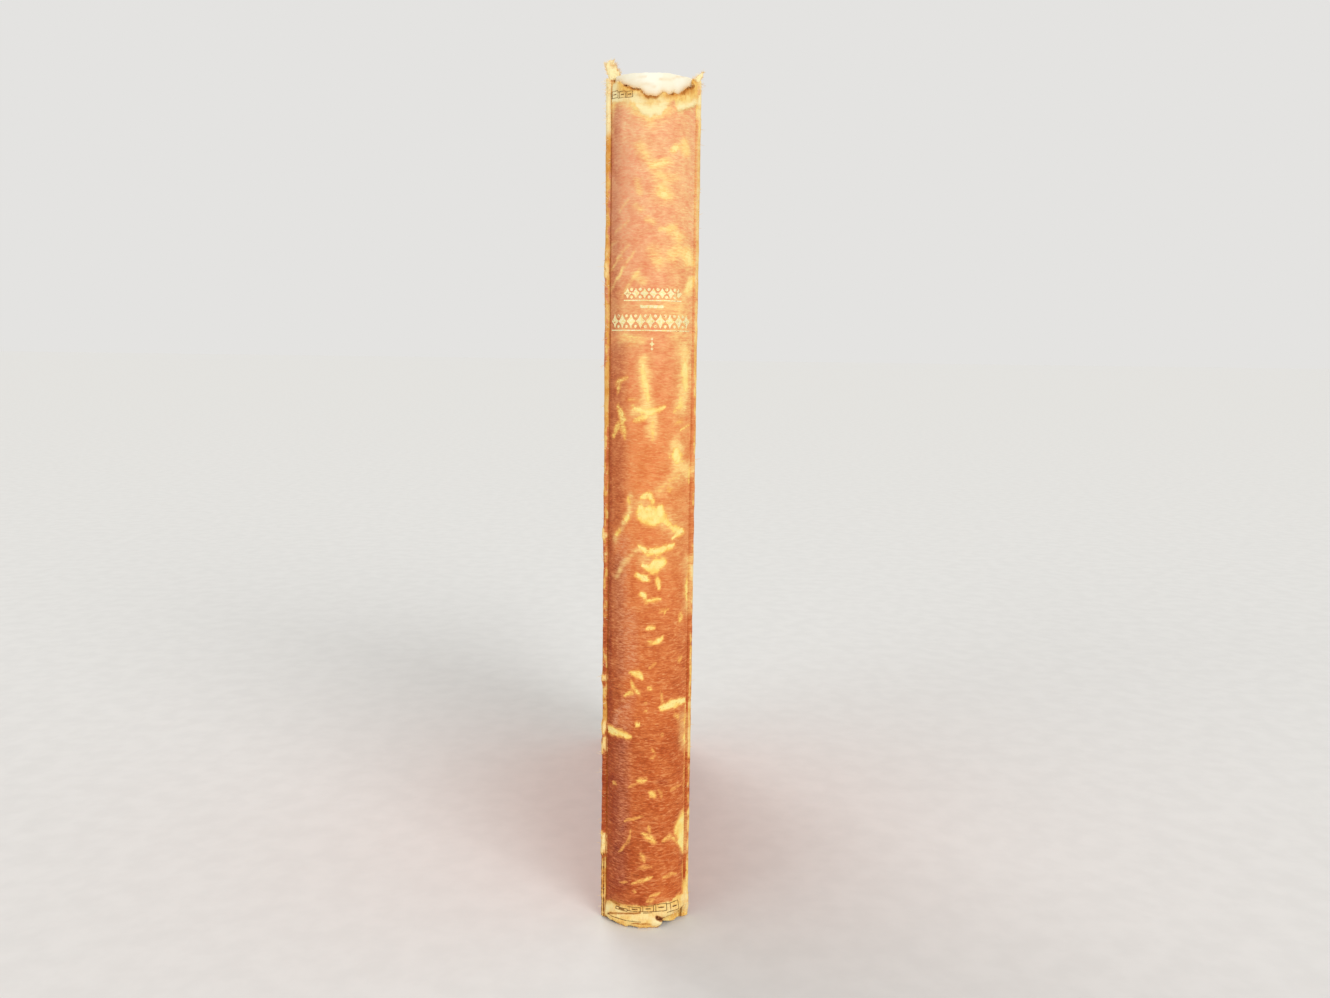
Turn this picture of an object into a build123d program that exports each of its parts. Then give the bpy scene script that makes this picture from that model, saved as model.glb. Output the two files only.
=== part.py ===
from build123d import *
import os
from math import acos, asin, cos, degrees, radians, sin

# Old hardback book in a leather hollow-back binding, standing on its tail edge. Millimetres.
# +Z runs from tail to head, the spine faces -Y, the front cover is on the +X side.
# The origin is at the bottom centre of the closed book.

# Covers and pages
COVER_HEIGHT = 220.0
COVER_WIDTH = 142.0
PAGES_THICKNESS = 16.4
PAGES_ROUNDING = 4.4
FORE_EDGE_HOLLOW = 3.2
SQUARE = 3.0

# Thickness of each sheet
BOARD = 2.1
COVER_LEATHER = 0.7
TURN_IN_LEATHER = 0.4
PASTEDOWN = 0.2
FLYLEAF = 0.2
LINING = 0.3
INLAY = 0.5
SPINE_LEATHER = 0.7

# Gaps between the layers
GLUE_LINE = 0.1
CLOSING_GAP = 0.2
HOLLOW_BACK = 0.3
JOINT_GAP = 0.4

# Trims, widths and roundings
COVER_TURN_IN_WIDTH = 13.0
PASTEDOWN_MARGIN = 4.0
CORNER_ROUND = 2.5
EDGE_ROUND = 0.9
JOINT_ROUND = 1.5
BAND_WIDTH = 1.7
BAND_HEIGHT = 1.5
BAND_TONGUE = 8.0
LINING_TRIM = 10.0
INLAY_TAIL_TRIM = 2.8
SPINE_TURN_IN_LENGTH = 14.0

# Torn edges of the spine's sheets, seen from the front. Each point has its place across the book, as a share
# of half its thickness from the middle, and the height in mm that is lost below the head or above the tail.
HEAD_TEAR = [
    (-1.00, 1.9), (-0.76, 1.6), (-0.66, 2.6), (-0.44, 3.6), (-0.30, 4.0), (-0.18, 5.4), (0.04, 5.8),
    (0.17, 4.5), (0.29, 5.1), (0.40, 4.4), (0.50, 5.0), (0.69, 2.8), (0.80, 2.4), (0.83, 0.6), (1.00, 0.2),
]
TAIL_TEAR = [
    (-1.00, 0.7), (-0.71, 0.5), (-0.44, 0.0), (-0.37, 0.5), (0.02, 0.1), (0.27, 0.0), (0.37, 0.6),
    (0.41, 2.0), (0.55, 2.4), (0.73, 2.7), (0.83, 3.4), (1.00, 3.7),
]
HEAD_TURN_IN_TEAR = [(-1.00, 0.3), (-0.58, 0.4), (-0.27, 0.9), (0.22, 0.7), (0.62, 1.2), (1.00, 0.6)]
TAIL_TURN_IN_TEAR = [(-1.00, 1.4), (-0.36, 1.8), (0.36, 1.5), (0.53, 0.7), (0.75, 0.5), (1.00, 1.2)]

# Scraps of torn leather that stand up at the head of the two joints. Each point has its distance in mm from
# the cover's inner edge and its height above the head.
BACK_SCRAP = [(0.2, -0.4), (0.2, 0.5), (0.8, 2.2), (0.9, 3.6), (2.5, 3.2), (2.2, 1.4), (1.2, -0.4)]
FRONT_SCRAP = [(0.4, -0.4), (0.4, 0.2), (1.4, 0.6), (2.3, 1.3), (1.9, 0.4), (1.2, -0.4)]

# Heights of the pages
pages_bottom = SQUARE
pages_top = COVER_HEIGHT - SQUARE
pages_half = PAGES_THICKNESS / 2

# Layers of the spine, as radii about one upright axis, from the rounded back of the pages outwards
back_radius = (pages_half**2 + PAGES_ROUNDING**2) / (2 * PAGES_ROUNDING)
lining_inner = back_radius + GLUE_LINE
lining_outer = lining_inner + LINING
turn_in_inner = lining_outer + HOLLOW_BACK
turn_in_outer = turn_in_inner + TURN_IN_LEATHER
inlay_inner = turn_in_outer + GLUE_LINE
inlay_outer = inlay_inner + INLAY
leather_inner = inlay_outer + GLUE_LINE
leather_outer = leather_inner + SPINE_LEATHER
half_sweep = asin(pages_half / back_radius)
spine_half_width = leather_outer * sin(half_sweep)

# Depth stations, measured from the middle of the closed book. The layers of the spine all end on one plane,
# just in front of the covers' joint edges.
ends_from_axis = leather_inner * cos(half_sweep)
joint_from_axis = ends_from_axis - JOINT_GAP
book_depth = leather_outer - joint_from_axis + COVER_WIDTH
axis_y = leather_outer - book_depth / 2
joint_y = axis_y - joint_from_axis
cover_fore_y = joint_y + COVER_WIDTH
shoulder_y = axis_y - back_radius * cos(half_sweep)
pages_fore_y = cover_fore_y - SQUARE

# Thickness stations of the front cover, from the pages outwards
flyleaf_x = pages_half
pastedown_x = flyleaf_x + FLYLEAF + CLOSING_GAP
cover_inner_x = pastedown_x + PASTEDOWN
board_outer_x = cover_inner_x + BOARD
cover_outer_x = board_outer_x + COVER_LEATHER

# Outline of the board and of the raised panel that the turned-in leather leaves free
board_joint_y = joint_y + COVER_LEATHER
board_fore_y = cover_fore_y - COVER_LEATHER
board_bottom = COVER_LEATHER
board_top = COVER_HEIGHT - COVER_LEATHER
panel_fore_y = cover_fore_y - COVER_TURN_IN_WIDTH
panel_bottom = COVER_TURN_IN_WIDTH
panel_top = COVER_HEIGHT - COVER_TURN_IN_WIDTH

os.makedirs("parts", exist_ok=True)


def save(piece, name):
    piece.part.label = name
    export_step(piece.part, f"parts/{name}.step")


def layer_sweep(inner):
    """Half angle, in degrees, at which a layer with this inner radius reaches the plane of the ends."""
    return degrees(acos(ends_from_axis / inner))


def sector_edges(inner, outer):
    """Closed outline of a curved layer of the spine, seen from above."""
    sweep = layer_sweep(inner)
    outer_arc = CenterArc((0, axis_y), outer, 270 - sweep, 2 * sweep)
    inner_arc = CenterArc((0, axis_y), inner, 270 - sweep, 2 * sweep)
    Line(outer_arc @ 0, inner_arc @ 0)
    Line(outer_arc @ 1, inner_arc @ 1)


def curved_layer(inner, outer, bottom, top):
    """Sheet that follows the spine's curve between two heights."""
    with BuildPart() as layer:
        with BuildSketch(Plane.XY.offset(bottom)):
            with BuildLine():
                sector_edges(inner, outer)
            make_face()
        extrude(amount=top - bottom)
    return layer


def torn_layer(inner, outer, tail_edge, head_edge):
    """Spine sheet whose two ends follow torn edges, cut straight through from the front."""
    highest = max(height for across, height in head_edge)
    lowest = min(height for across, height in tail_edge)
    outline = [(across * cover_outer_x, height) for across, height in head_edge + tail_edge[::-1]]
    with BuildPart() as layer:
        with BuildSketch(Plane.XY.offset(lowest)):
            with BuildLine():
                sector_edges(inner, outer)
            make_face()
        extrude(amount=highest - lowest)
        with BuildSketch(Plane.XZ):
            with BuildLine():
                Polyline(*outline, close=True)
            make_face()
        extrude(amount=book_depth, both=True, mode=Mode.INTERSECT)
    return layer


def below_head(edge):
    """Torn edge with its drops turned into heights."""
    return [(across, COVER_HEIGHT - drop) for across, drop in edge]


def level_edge(height):
    """Straight edge right across the book."""
    return [(-1.0, height), (1.0, height)]


def with_scrap(leather, points, side):
    """Cover leather with a torn scrap on the head of its joint edge, on the +X or -X side."""
    outline = [(side * (cover_inner_x + out), COVER_HEIGHT + up) for out, up in points]
    with BuildPart() as torn_cover:
        add(leather)
        with BuildSketch(Plane.XZ.offset(-joint_y)):
            with BuildLine():
                Polyline(*outline, close=True)
            make_face()
        extrude(amount=-COVER_LEATHER)
    return torn_cover


# Sewn pages: rounded back, flat sides and hollow fore-edge
with BuildPart() as text_block:
    with BuildSketch(Plane.XY.offset(pages_bottom)):
        with BuildLine():
            back = ThreePointArc(
                (-pages_half, shoulder_y), (0, axis_y - back_radius), (pages_half, shoulder_y)
            )
            front_side = Line(back @ 1, (pages_half, pages_fore_y))
            fore_edge = ThreePointArc(
                front_side @ 1, (0, pages_fore_y - FORE_EDGE_HOLLOW), (-pages_half, pages_fore_y)
            )
            Line(fore_edge @ 1, back @ 0)
        make_face()
    extrude(amount=pages_top - pages_bottom)
save(text_block, "text_block")

# Lining glued to the back between the two bands
spine_lining = curved_layer(lining_inner, lining_outer, pages_bottom + LINING_TRIM, pages_top - LINING_TRIM)
save(spine_lining, "spine_lining")

# Rolled band on the head of the back, with its tongue glued down the back
band_sweep = layer_sweep(lining_inner)
start_direction = Vector(-sin(radians(band_sweep)), -cos(radians(band_sweep)), 0)
band_plane = Plane((0, axis_y, 0), x_dir=start_direction, z_dir=start_direction.cross(Vector(0, 0, 1)))
with BuildPart() as head_band:
    with BuildSketch(band_plane):
        with BuildLine():
            bead_inner = lining_outer - BAND_WIDTH
            tongue_foot = pages_top - BAND_TONGUE
            base = Polyline(
                (bead_inner, pages_top), (lining_inner, pages_top), (lining_inner, tongue_foot),
                (lining_outer, tongue_foot), (lining_outer, pages_top),
            )
            ThreePointArc(base @ 1, ((bead_inner + lining_outer) / 2, pages_top + BAND_HEIGHT), base @ 0)
        make_face()
    revolve(axis=Axis((0, axis_y, 0), (0, 0, 1)), revolution_arc=2 * band_sweep)
save(head_band, "head_band")

with BuildPart() as tail_band:
    mirror(head_band.part, about=Plane.XY.offset(COVER_HEIGHT / 2))
save(tail_band, "tail_band")

# Card strip that stiffens the hollow spine, level with the covers at the head
spine_inlay = curved_layer(inlay_inner, inlay_outer, INLAY_TAIL_TRIM, COVER_HEIGHT)
save(spine_inlay, "spine_inlay")

# Torn leather over the spine
spine_leather = torn_layer(leather_inner, leather_outer, TAIL_TEAR, below_head(HEAD_TEAR))
save(spine_leather, "spine_leather")

# What is left of the leather's turned-in ends behind the card strip
head_turn_in_root = level_edge(COVER_HEIGHT - SPINE_TURN_IN_LENGTH)
head_turn_in = torn_layer(turn_in_inner, turn_in_outer, head_turn_in_root, below_head(HEAD_TURN_IN_TEAR))
save(head_turn_in, "head_turn_in")

tail_turn_in_root = level_edge(SPINE_TURN_IN_LENGTH)
tail_turn_in = torn_layer(turn_in_inner, turn_in_outer, TAIL_TURN_IN_TEAR, tail_turn_in_root)
save(tail_turn_in, "tail_turn_in")

# Free end leaf on the front of the pages
with BuildPart() as front_flyleaf:
    with BuildSketch(Plane.YZ.offset(flyleaf_x)):
        with Locations((shoulder_y, pages_bottom)):
            Rectangle(pages_fore_y - shoulder_y, pages_top - pages_bottom, align=Align.MIN)
    extrude(amount=FLYLEAF)

# Card board with a raised inner panel, so that the turned-in leather lies level with it
with BuildPart() as front_board:
    with BuildSketch(Plane.YZ.offset(cover_inner_x + TURN_IN_LEATHER)) as board_sketch:
        with Locations((board_joint_y, board_bottom)):
            Rectangle(board_fore_y - board_joint_y, board_top - board_bottom, align=Align.MIN)
        fillet(board_sketch.vertices().group_by(Axis.X)[-1], CORNER_ROUND - COVER_LEATHER)
    extrude(amount=BOARD - TURN_IN_LEATHER)
    with BuildSketch(Plane.YZ.offset(cover_inner_x)):
        with Locations((board_joint_y, panel_bottom)):
            Rectangle(panel_fore_y - board_joint_y, panel_top - panel_bottom, align=Align.MIN)
    extrude(amount=TURN_IN_LEATHER)

# Leather round a board: outer face, rounded edges and turned-in margins
with BuildPart() as cover_leather:
    with BuildSketch(Plane.YZ.offset(cover_inner_x)) as cover_sketch:
        with Locations((joint_y, 0)):
            Rectangle(COVER_WIDTH, COVER_HEIGHT, align=Align.MIN)
        fillet(cover_sketch.vertices().group_by(Axis.X)[-1], CORNER_ROUND)
    extrude(amount=cover_outer_x - cover_inner_x)
    outer_face = cover_leather.faces().sort_by(Axis.X)[-1]
    fillet(outer_face.edges().sort_by(Axis.Y)[0], JOINT_ROUND)
    outer_face = cover_leather.faces().sort_by(Axis.X)[-1]
    fillet(outer_face.edges().sort_by(Axis.Y)[1:], EDGE_ROUND)
    add(front_board.part, mode=Mode.SUBTRACT)

# The two covers' leather, each with the scrap left standing at the head of its joint
front_cover_leather = with_scrap(cover_leather.part, FRONT_SCRAP, 1)
save(front_cover_leather, "front_cover_leather")

back_cover_leather = with_scrap(cover_leather.part.mirror(Plane.YZ), BACK_SCRAP, -1)
save(back_cover_leather, "back_cover_leather")

# Paper pasted inside the board
with BuildPart() as front_pastedown:
    with BuildSketch(Plane.YZ.offset(pastedown_x)):
        with Locations((joint_y, PASTEDOWN_MARGIN)):
            Rectangle(COVER_WIDTH - PASTEDOWN_MARGIN, COVER_HEIGHT - 2 * PASTEDOWN_MARGIN, align=Align.MIN)
    extrude(amount=PASTEDOWN)

# The back board and its two leaves mirror the front ones
for name, front_piece in (("flyleaf", front_flyleaf), ("board", front_board), ("pastedown", front_pastedown)):
    save(front_piece, f"front_{name}")
    with BuildPart() as back_piece:
        mirror(front_piece.part, about=Plane.YZ)
    save(back_piece, f"back_{name}")
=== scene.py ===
"""Looks of an old leather-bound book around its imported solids. Lengths are in mm until a mesh is made."""
from functools import partial
from math import asin, cos, pi, radians, sin, sqrt
from types import SimpleNamespace

import bmesh
import bpy
import numpy as np
from mathutils import Matrix, Vector, noise


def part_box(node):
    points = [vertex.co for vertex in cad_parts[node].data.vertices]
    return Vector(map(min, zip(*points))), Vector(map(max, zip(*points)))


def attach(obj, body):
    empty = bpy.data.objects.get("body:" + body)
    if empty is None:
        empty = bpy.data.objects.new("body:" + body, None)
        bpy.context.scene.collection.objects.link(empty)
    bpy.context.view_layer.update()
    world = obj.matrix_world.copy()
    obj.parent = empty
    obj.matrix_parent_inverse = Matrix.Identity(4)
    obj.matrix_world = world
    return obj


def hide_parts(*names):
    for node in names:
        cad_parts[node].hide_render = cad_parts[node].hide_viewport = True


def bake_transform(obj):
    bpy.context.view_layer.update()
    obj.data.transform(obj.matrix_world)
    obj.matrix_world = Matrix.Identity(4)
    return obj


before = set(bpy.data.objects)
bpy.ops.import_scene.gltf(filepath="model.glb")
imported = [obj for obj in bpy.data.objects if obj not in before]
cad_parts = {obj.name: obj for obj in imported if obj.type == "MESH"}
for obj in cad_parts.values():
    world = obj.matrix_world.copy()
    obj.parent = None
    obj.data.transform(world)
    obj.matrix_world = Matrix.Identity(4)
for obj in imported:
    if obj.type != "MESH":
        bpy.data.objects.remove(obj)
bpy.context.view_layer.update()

MM = 0.001

# Photograph and camera: places in mm, angles in degrees
PHOTO_WIDTH = 1330
PHOTO_HEIGHT = 998
SENSOR_WIDTH = 36.0
FOCAL_PIXELS = 1100.0
CAMERA_PLACE = np.array([-8.1, -350.8, 152.3])
CAMERA_YAW = 2.46
CAMERA_PITCH = 7.49
CAMERA_ROLL = 0.78

# Thickness of the sheets
LEATHER = 0.7
TURN_IN = 0.4
CARD = 0.5

# Torn edges of the spine's sheets: share of half the book's thickness from the middle, mm lost at that end
HEAD_TEAR = [
    (-1.00, 1.9), (-0.76, 1.6), (-0.66, 2.6), (-0.44, 3.6), (-0.30, 4.0), (-0.18, 5.4), (0.04, 5.8),
    (0.17, 4.5), (0.29, 5.1), (0.40, 4.4), (0.50, 5.0), (0.69, 2.8), (0.80, 2.4), (0.83, 0.6), (1.00, 0.2),
]
TAIL_TEAR = [
    (-1.00, 0.7), (-0.71, 0.5), (-0.44, 0.0), (-0.37, 0.5), (0.02, 0.1), (0.27, 0.0), (0.37, 0.6),
    (0.41, 2.0), (0.55, 2.4), (0.73, 2.7), (0.83, 3.4), (1.00, 3.7),
]
HEAD_TURN_IN_TEAR = [(-1.00, 0.3), (-0.58, 0.4), (-0.27, 0.9), (0.22, 0.7), (0.62, 1.2), (1.00, 0.6)]
TAIL_TURN_IN_TEAR = [(-1.00, 1.4), (-0.36, 1.8), (0.36, 1.5), (0.53, 0.7), (0.75, 0.5), (1.00, 1.2)]
HEAD_CARD_EDGE = [(-1.00, 0.2), (-0.55, 0.0), (-0.1, 0.15), (0.3, 0.0), (0.6, 0.25), (1.00, 0.1)]

# Folds of the card, darker along their lines, in photo pixels: radius, strength and line
CARD_FOLDS = [
    (1.0, 0.5, [(660, 79.5), (674, 79)]),
    (0.8, 0.45, [(676, 77), (684, 76)]),
    (1.4, 0.35, [(638, 83), (655, 86)]),
    (0.8, 0.3, [(628, 79), (646, 77)]),
]

# Edge of the raw leather at the head and tail of the spine, and how far it fades out, in photo pixels
RAW_HEAD = [
    (600, 103), (613, 103), (634, 101), (641, 112), (650, 117), (661, 115), (667, 106), (674, 101),
    (678, 111.5), (690, 108), (702, 103), (712, 101),
]
RAW_TAIL = [(598, 899), (608, 900), (622, 904), (640, 906), (655, 905), (671, 901), (677, 895), (690, 893)]
RAW_HEAD_SOFT = 13
RAW_TAIL_SOFT = 5

# Loose flap at the right of the head, in photo pixels: lower edge, then where its left side and top begin
FLAP_EDGE = [(678, 111.5), (690, 108), (703, 102)]
FLAP_LEFT = (675.5, 677.5)
FLAP_TOP = (80, 86)
FLAP_SOFT = 1.8

# Columns between which the painted shadow along the tail's torn edge grows stronger, in photo pixels
TAIL_PARTING = (652, 662)

# Roll of framed dashes, dark with blackening and painted shadow in its impressions, in photo pixels: left,
# right, top and bottom of each frame
TAIL_ROLL = [
    (616, 627.5, 905.5, 911.5), (629, 640.5, 906.3, 912), (642.6, 653.8, 906, 911.5),
    (655.6, 666.2, 904.4, 909.6), (669.6, 677, 902.4, 907.6),
]
HEAD_ROLL = [(612, 618, 92.0, 97.6), (619.2, 625.6, 91.7, 97.3), (626.8, 633, 91.4, 97.0)]

# Rules under the tail's roll, in photo pixels: left, right and row
TAIL_RULES = [(609, 641, 912.8), (643, 652, 913.2)]

# Gilt ornament, in photo pixels: left, right, top and bottom, with the count of a row's lozenges
ORNAMENT_ROWS = [(624, 682, 288, 302, 7), (612, 689, 314, 332, 9)]
SHORT_RULE = (640, 664, 305, 309)

# Lozenges of the drop under it: photo column and row, then size in mm
DROPS = [(652, 339, 0.8), (652, 344, 1.3), (652, 349, 0.8)]

# Scuffs through the leather's surface, in photo pixels: radius, strength and line
SCUFFS = [
    # along the right edge
    (2.2, 0.6, [(702, 106), (700, 160), (699, 220), (697, 300)]),
    (2.4, 0.75, [(696, 330), (695, 400), (694, 440)]),
    (2.0, 0.5, [(693, 450), (692, 540)]),
    (2.8, 0.85, [(692, 545), (691, 560), (690, 620)]),
    (2.0, 0.55, [(690, 630), (688, 690)]),
    (2.6, 0.8, [(688, 700), (687, 728), (687, 760)]),
    (2.2, 0.6, [(686, 765), (686, 810)]),
    (2.2, 0.7, [(685, 855), (684, 900)]),
    # head to the ornament
    (2.6, 0.8, [(673, 150), (677, 147)]),
    (1.8, 0.75, [(650, 166), (657, 164), (669, 162)]),
    (3.2, 0.75, [(662, 193), (667, 195)]),
    (1.6, 0.5, [(664, 229), (674, 226)]),
    (2.8, 0.65, [(674, 231), (677, 236)]),
    (3.0, 0.85, [(688, 253), (690, 262)]),
    (2.6, 0.85, [(693, 280), (690, 286), (687, 291)]),
    (1.4, 0.5, [(620, 252), (628, 248)]),
    (1.2, 0.5, [(617, 262), (624, 258)]),
    # below the ornament
    (1.8, 0.65, [(624, 336), (638, 337)]),
    (1.4, 0.5, [(627, 346), (636, 342)]),
    (2.8, 0.85, [(643, 365), (644, 376), (646, 388), (648, 400)]),
    (3.2, 0.95, [(685, 363), (685, 379), (686, 391)]),
    (2.8, 0.7, [(680, 397), (681, 406), (674, 412)]),
    (2.7, 0.95, [(632, 408), (642, 411), (652, 412), (664, 407)]),
    (2.3, 0.85, [(652, 413), (643, 418), (633, 421)]),
    (2.6, 0.6, [(652, 420), (652, 428), (653, 440)]),
    (2.4, 0.65, [(627, 378), (619, 381), (618, 392)]),
    (2.5, 0.7, [(618, 405), (623, 420), (616, 429), (613, 437)]),
    (2.4, 0.65, [(622, 422), (625, 438)]),
    (1.6, 0.55, [(627, 400), (639, 401)]),
    (2.0, 0.6, [(675, 424), (683, 421)]),
    (1.3, 0.7, [(679, 431), (693, 422)]),
    (4.6, 1.0, [(676, 450), (677, 461)]),
    (1.8, 0.6, [(668, 457), (674, 458)]),
    (1.3, 0.6, [(681, 462), (687, 459)]),
    (2.4, 0.8, [(691, 465), (690, 483)]),
    (2.2, 0.55, [(658, 491), (670, 482), (681, 472)]),
    (2.0, 0.7, [(667, 490), (672, 489)]),
    # the large scuff and its tail
    (2.6, 0.9, [(641, 498), (649, 495), (654, 502)]),
    (5.5, 1.0, [(641, 508), (642, 515), (652, 520), (661, 516), (660, 508)]),
    (4.5, 0.9, [(646, 509), (656, 511)]),
    (3.2, 0.95, [(662, 518), (671, 526), (681, 532), (674, 537)]),
    (2.3, 0.85, [(628, 515), (625, 522)]),
    (1.8, 0.75, [(620, 529), (616, 537)]),
    (2.0, 0.7, [(629, 496), (630, 505)]),
    # wavy scuff and the blobs under it
    (3.1, 1.0, [(640, 547), (648, 553), (662, 550), (674, 545)]),
    (3.4, 1.0, [(644, 565), (652, 571), (663, 562), (656, 562), (650, 567)]),
    (2.8, 0.95, [(636, 575), (648, 580)]),
    (2.6, 0.95, [(657, 577), (659, 588)]),
    (2.3, 0.85, [(640, 594), (647, 596)]),
    (1.6, 0.9, [(642, 602), (661, 599)]),
    (1.2, 0.6, [(659, 612), (668, 608), (664, 615)]),
    (2.4, 0.8, [(688, 579), (687, 601)]),
    (2.0, 0.65, [(681, 613), (680, 622)]),
    (2.0, 0.9, [(646, 629), (655, 627)]),
    (2.2, 0.85, [(647, 643), (656, 643), (663, 637)]),
    (1.6, 0.6, [(679, 661), (681, 656)]),
    (1.2, 0.6, [(649, 668), (656, 664)]),
    # the bright bar and its neighbours
    (2.7, 0.9, [(631, 673), (638, 674), (642, 679)]),
    (2.0, 0.7, [(631, 682), (634, 688), (640, 694)]),
    (1.8, 0.8, [(625, 695), (633, 693)]),
    (2.4, 0.75, [(649, 688), (651, 691)]),
    (1.6, 0.55, [(661, 692), (662, 702)]),
    (3.2, 1.0, [(660, 709), (671, 705), (684, 700)]),
    (2.8, 0.65, [(675, 715), (678, 718)]),
    (1.7, 0.7, [(682, 721), (685, 720)]),
    (3.0, 1.0, [(637, 724), (638, 725)]),
    (3.0, 1.0, [(605, 727), (614, 731), (630, 737)]),
    (2.2, 0.75, [(684, 733), (685, 740)]),
    (1.1, 0.6, [(643, 704), (647, 703)]),
    (1.1, 0.6, [(644, 713), (647, 711)]),
    (1.1, 0.6, [(660, 736), (664, 735)]),
    (1.1, 0.55, [(648, 757), (656, 757)]),
    (1.2, 0.55, [(652, 748), (655, 753)]),
    # towards the tail
    (2.6, 0.65, [(637, 782), (641, 781), (646, 780)]),
    (1.2, 0.45, [(628, 787), (636, 785)]),
    (1.8, 0.6, [(613, 782), (616, 784)]),
    (3.4, 0.7, [(651, 793), (654, 796)]),
    (1.8, 0.45, [(659, 789), (662, 799)]),
    (1.4, 0.45, [(670, 791), (681, 784)]),
    (1.5, 0.55, [(624, 821), (633, 819), (643, 816)]),
    (3.2, 0.65, [(643, 834), (649, 838), (655, 843)]),
    (1.6, 0.5, [(648, 826), (650, 834)]),
    (2.0, 0.6, [(663, 841), (670, 836), (676, 841)]),
    (4.4, 0.95, [(686, 812), (681, 824), (681, 836), (684, 850)]),
    (2.4, 0.8, [(675, 832), (678, 826)]),
    (1.4, 0.5, [(631, 830), (628, 842), (619, 852)]),
    (2.6, 0.5, [(641, 854), (644, 862)]),
    (1.8, 0.45, [(638, 868), (650, 867)]),
    (1.5, 0.6, [(632, 884), (642, 881), (652, 877)]),
    (1.8, 0.55, [(663, 878), (676, 873)]),
    (1.5, 0.5, [(620, 882), (627, 882)]),
    (1.5, 0.55, [(633, 891), (636, 892)]),
    (1.5, 0.65, [(650, 897), (656, 894), (660, 893)]),
    (2.2, 0.5, [(648, 902), (654, 900)]),
    (3.2, 0.85, [(677, 898), (685, 895), (686, 886)]),
]

# Places rubbed to a soft yellow, and a painted highlight on the head's loose flap, in photo pixels
GLOWS = [
    # broad and faint
    (15.0, 0.26, [(686, 112), (684, 240), (680, 330)]),
    (12.0, 0.2, [(682, 340), (681, 460), (680, 560)]),
    (9.0, 0.18, [(650, 122), (652, 150), (655, 200)]),
    (8.0, 0.14, [(660, 240), (672, 262)]),
    (10.0, 0.25, [(622, 306), (650, 309), (680, 308)]),
    # head to the ornament
    (4.5, 0.5, [(639, 146), (645, 156)]),
    (3.6, 0.55, [(653, 165), (667, 162)]),
    (1.8, 0.7, [(656, 164), (663, 163)]),
    (2.2, 0.85, [(673, 150), (677, 147)]),
    (2.6, 0.5, [(684, 142), (687, 154)]),
    (4.5, 0.45, [(659, 175), (671, 178)]),
    (4.8, 0.6, [(661, 190), (668, 196)]),
    (2.2, 0.7, [(663, 193), (666, 195)]),
    (2.8, 0.5, [(637, 181), (639, 192)]),
    (2.6, 0.45, [(636, 206), (641, 209)]),
    (2.8, 0.5, [(647, 219), (653, 222)]),
    (1.6, 0.5, [(659, 229), (676, 226.5)]),
    (3.8, 0.6, [(672, 231), (679, 237)]),
    (4.4, 0.5, [(652, 250), (658, 263)]),
    (3.8, 0.5, [(678, 249), (672, 257)]),
    (4.2, 0.75, [(688, 254), (690, 263)]),
    (3.4, 0.8, [(693, 280), (688, 290)]),
    (3.4, 0.5, [(636, 276), (643, 282)]),
    # hairlines on the left
    (1.1, 0.5, [(611, 270), (619, 258), (628, 246)]),
    (1.1, 0.45, [(618, 277), (627, 262), (635, 252)]),
    (1.1, 0.45, [(610, 291), (622, 271)]),
    (1.1, 0.5, [(622, 297), (632, 280), (640, 269)]),
    (1.1, 0.4, [(607, 254), (615, 242)]),
    (1.0, 0.4, [(616, 232), (627, 222)]),
    (1.0, 0.4, [(619, 212), (628, 200)]),
    # below the ornament
    (4.5, 0.5, [(622, 338), (640, 340)]),
    (4.5, 0.8, [(643, 360), (647, 404)]),
    (4.0, 0.6, [(686, 350), (685, 380), (681, 410)]),
    (4.5, 0.7, [(634, 412), (652, 412), (652, 436)]),
    (4.5, 0.6, [(676, 446), (677, 464), (690, 470)]),
    (5.0, 0.4, [(660, 490), (680, 474)]),
    (7.0, 0.5, [(642, 506), (654, 514), (668, 524)]),
    (2.2, 0.6, [(641, 548), (631, 555), (623, 564), (617, 576)]),
    (2.2, 0.5, [(631, 495), (629, 512), (620, 530), (615, 540)]),
    (5.0, 0.5, [(645, 560), (660, 562)]),
    (4.0, 0.5, [(690, 560), (688, 610)]),
    (4.0, 0.5, [(684, 716), (684, 745)]),
    (3.0, 0.5, [(683, 815), (684, 850)]),
    # raw leather at the head and the tail
    (7.0, 0.8, [(640, 108), (652, 113), (662, 108)]),
    # painted highlight along the lower edge of the loose flap
    (2.6, 0.55, [(680, 108), (690, 105), (700, 101)]),
    (4.0, 0.8, [(704, 80), (703, 100)]),
    (5.0, 1.0, [(604, 80), (610, 86), (608, 100)]),
    (5.0, 0.5, [(610, 92), (618, 100), (634, 99)]),
    (4.0, 0.8, [(608, 106), (606, 132)]),
    (6.0, 0.4, [(608, 908), (640, 917), (672, 909)]),
    (3.5, 0.6, [(656, 922), (664, 922)]),
    (3.5, 0.6, [(684, 897), (686, 906)]),
]
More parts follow.
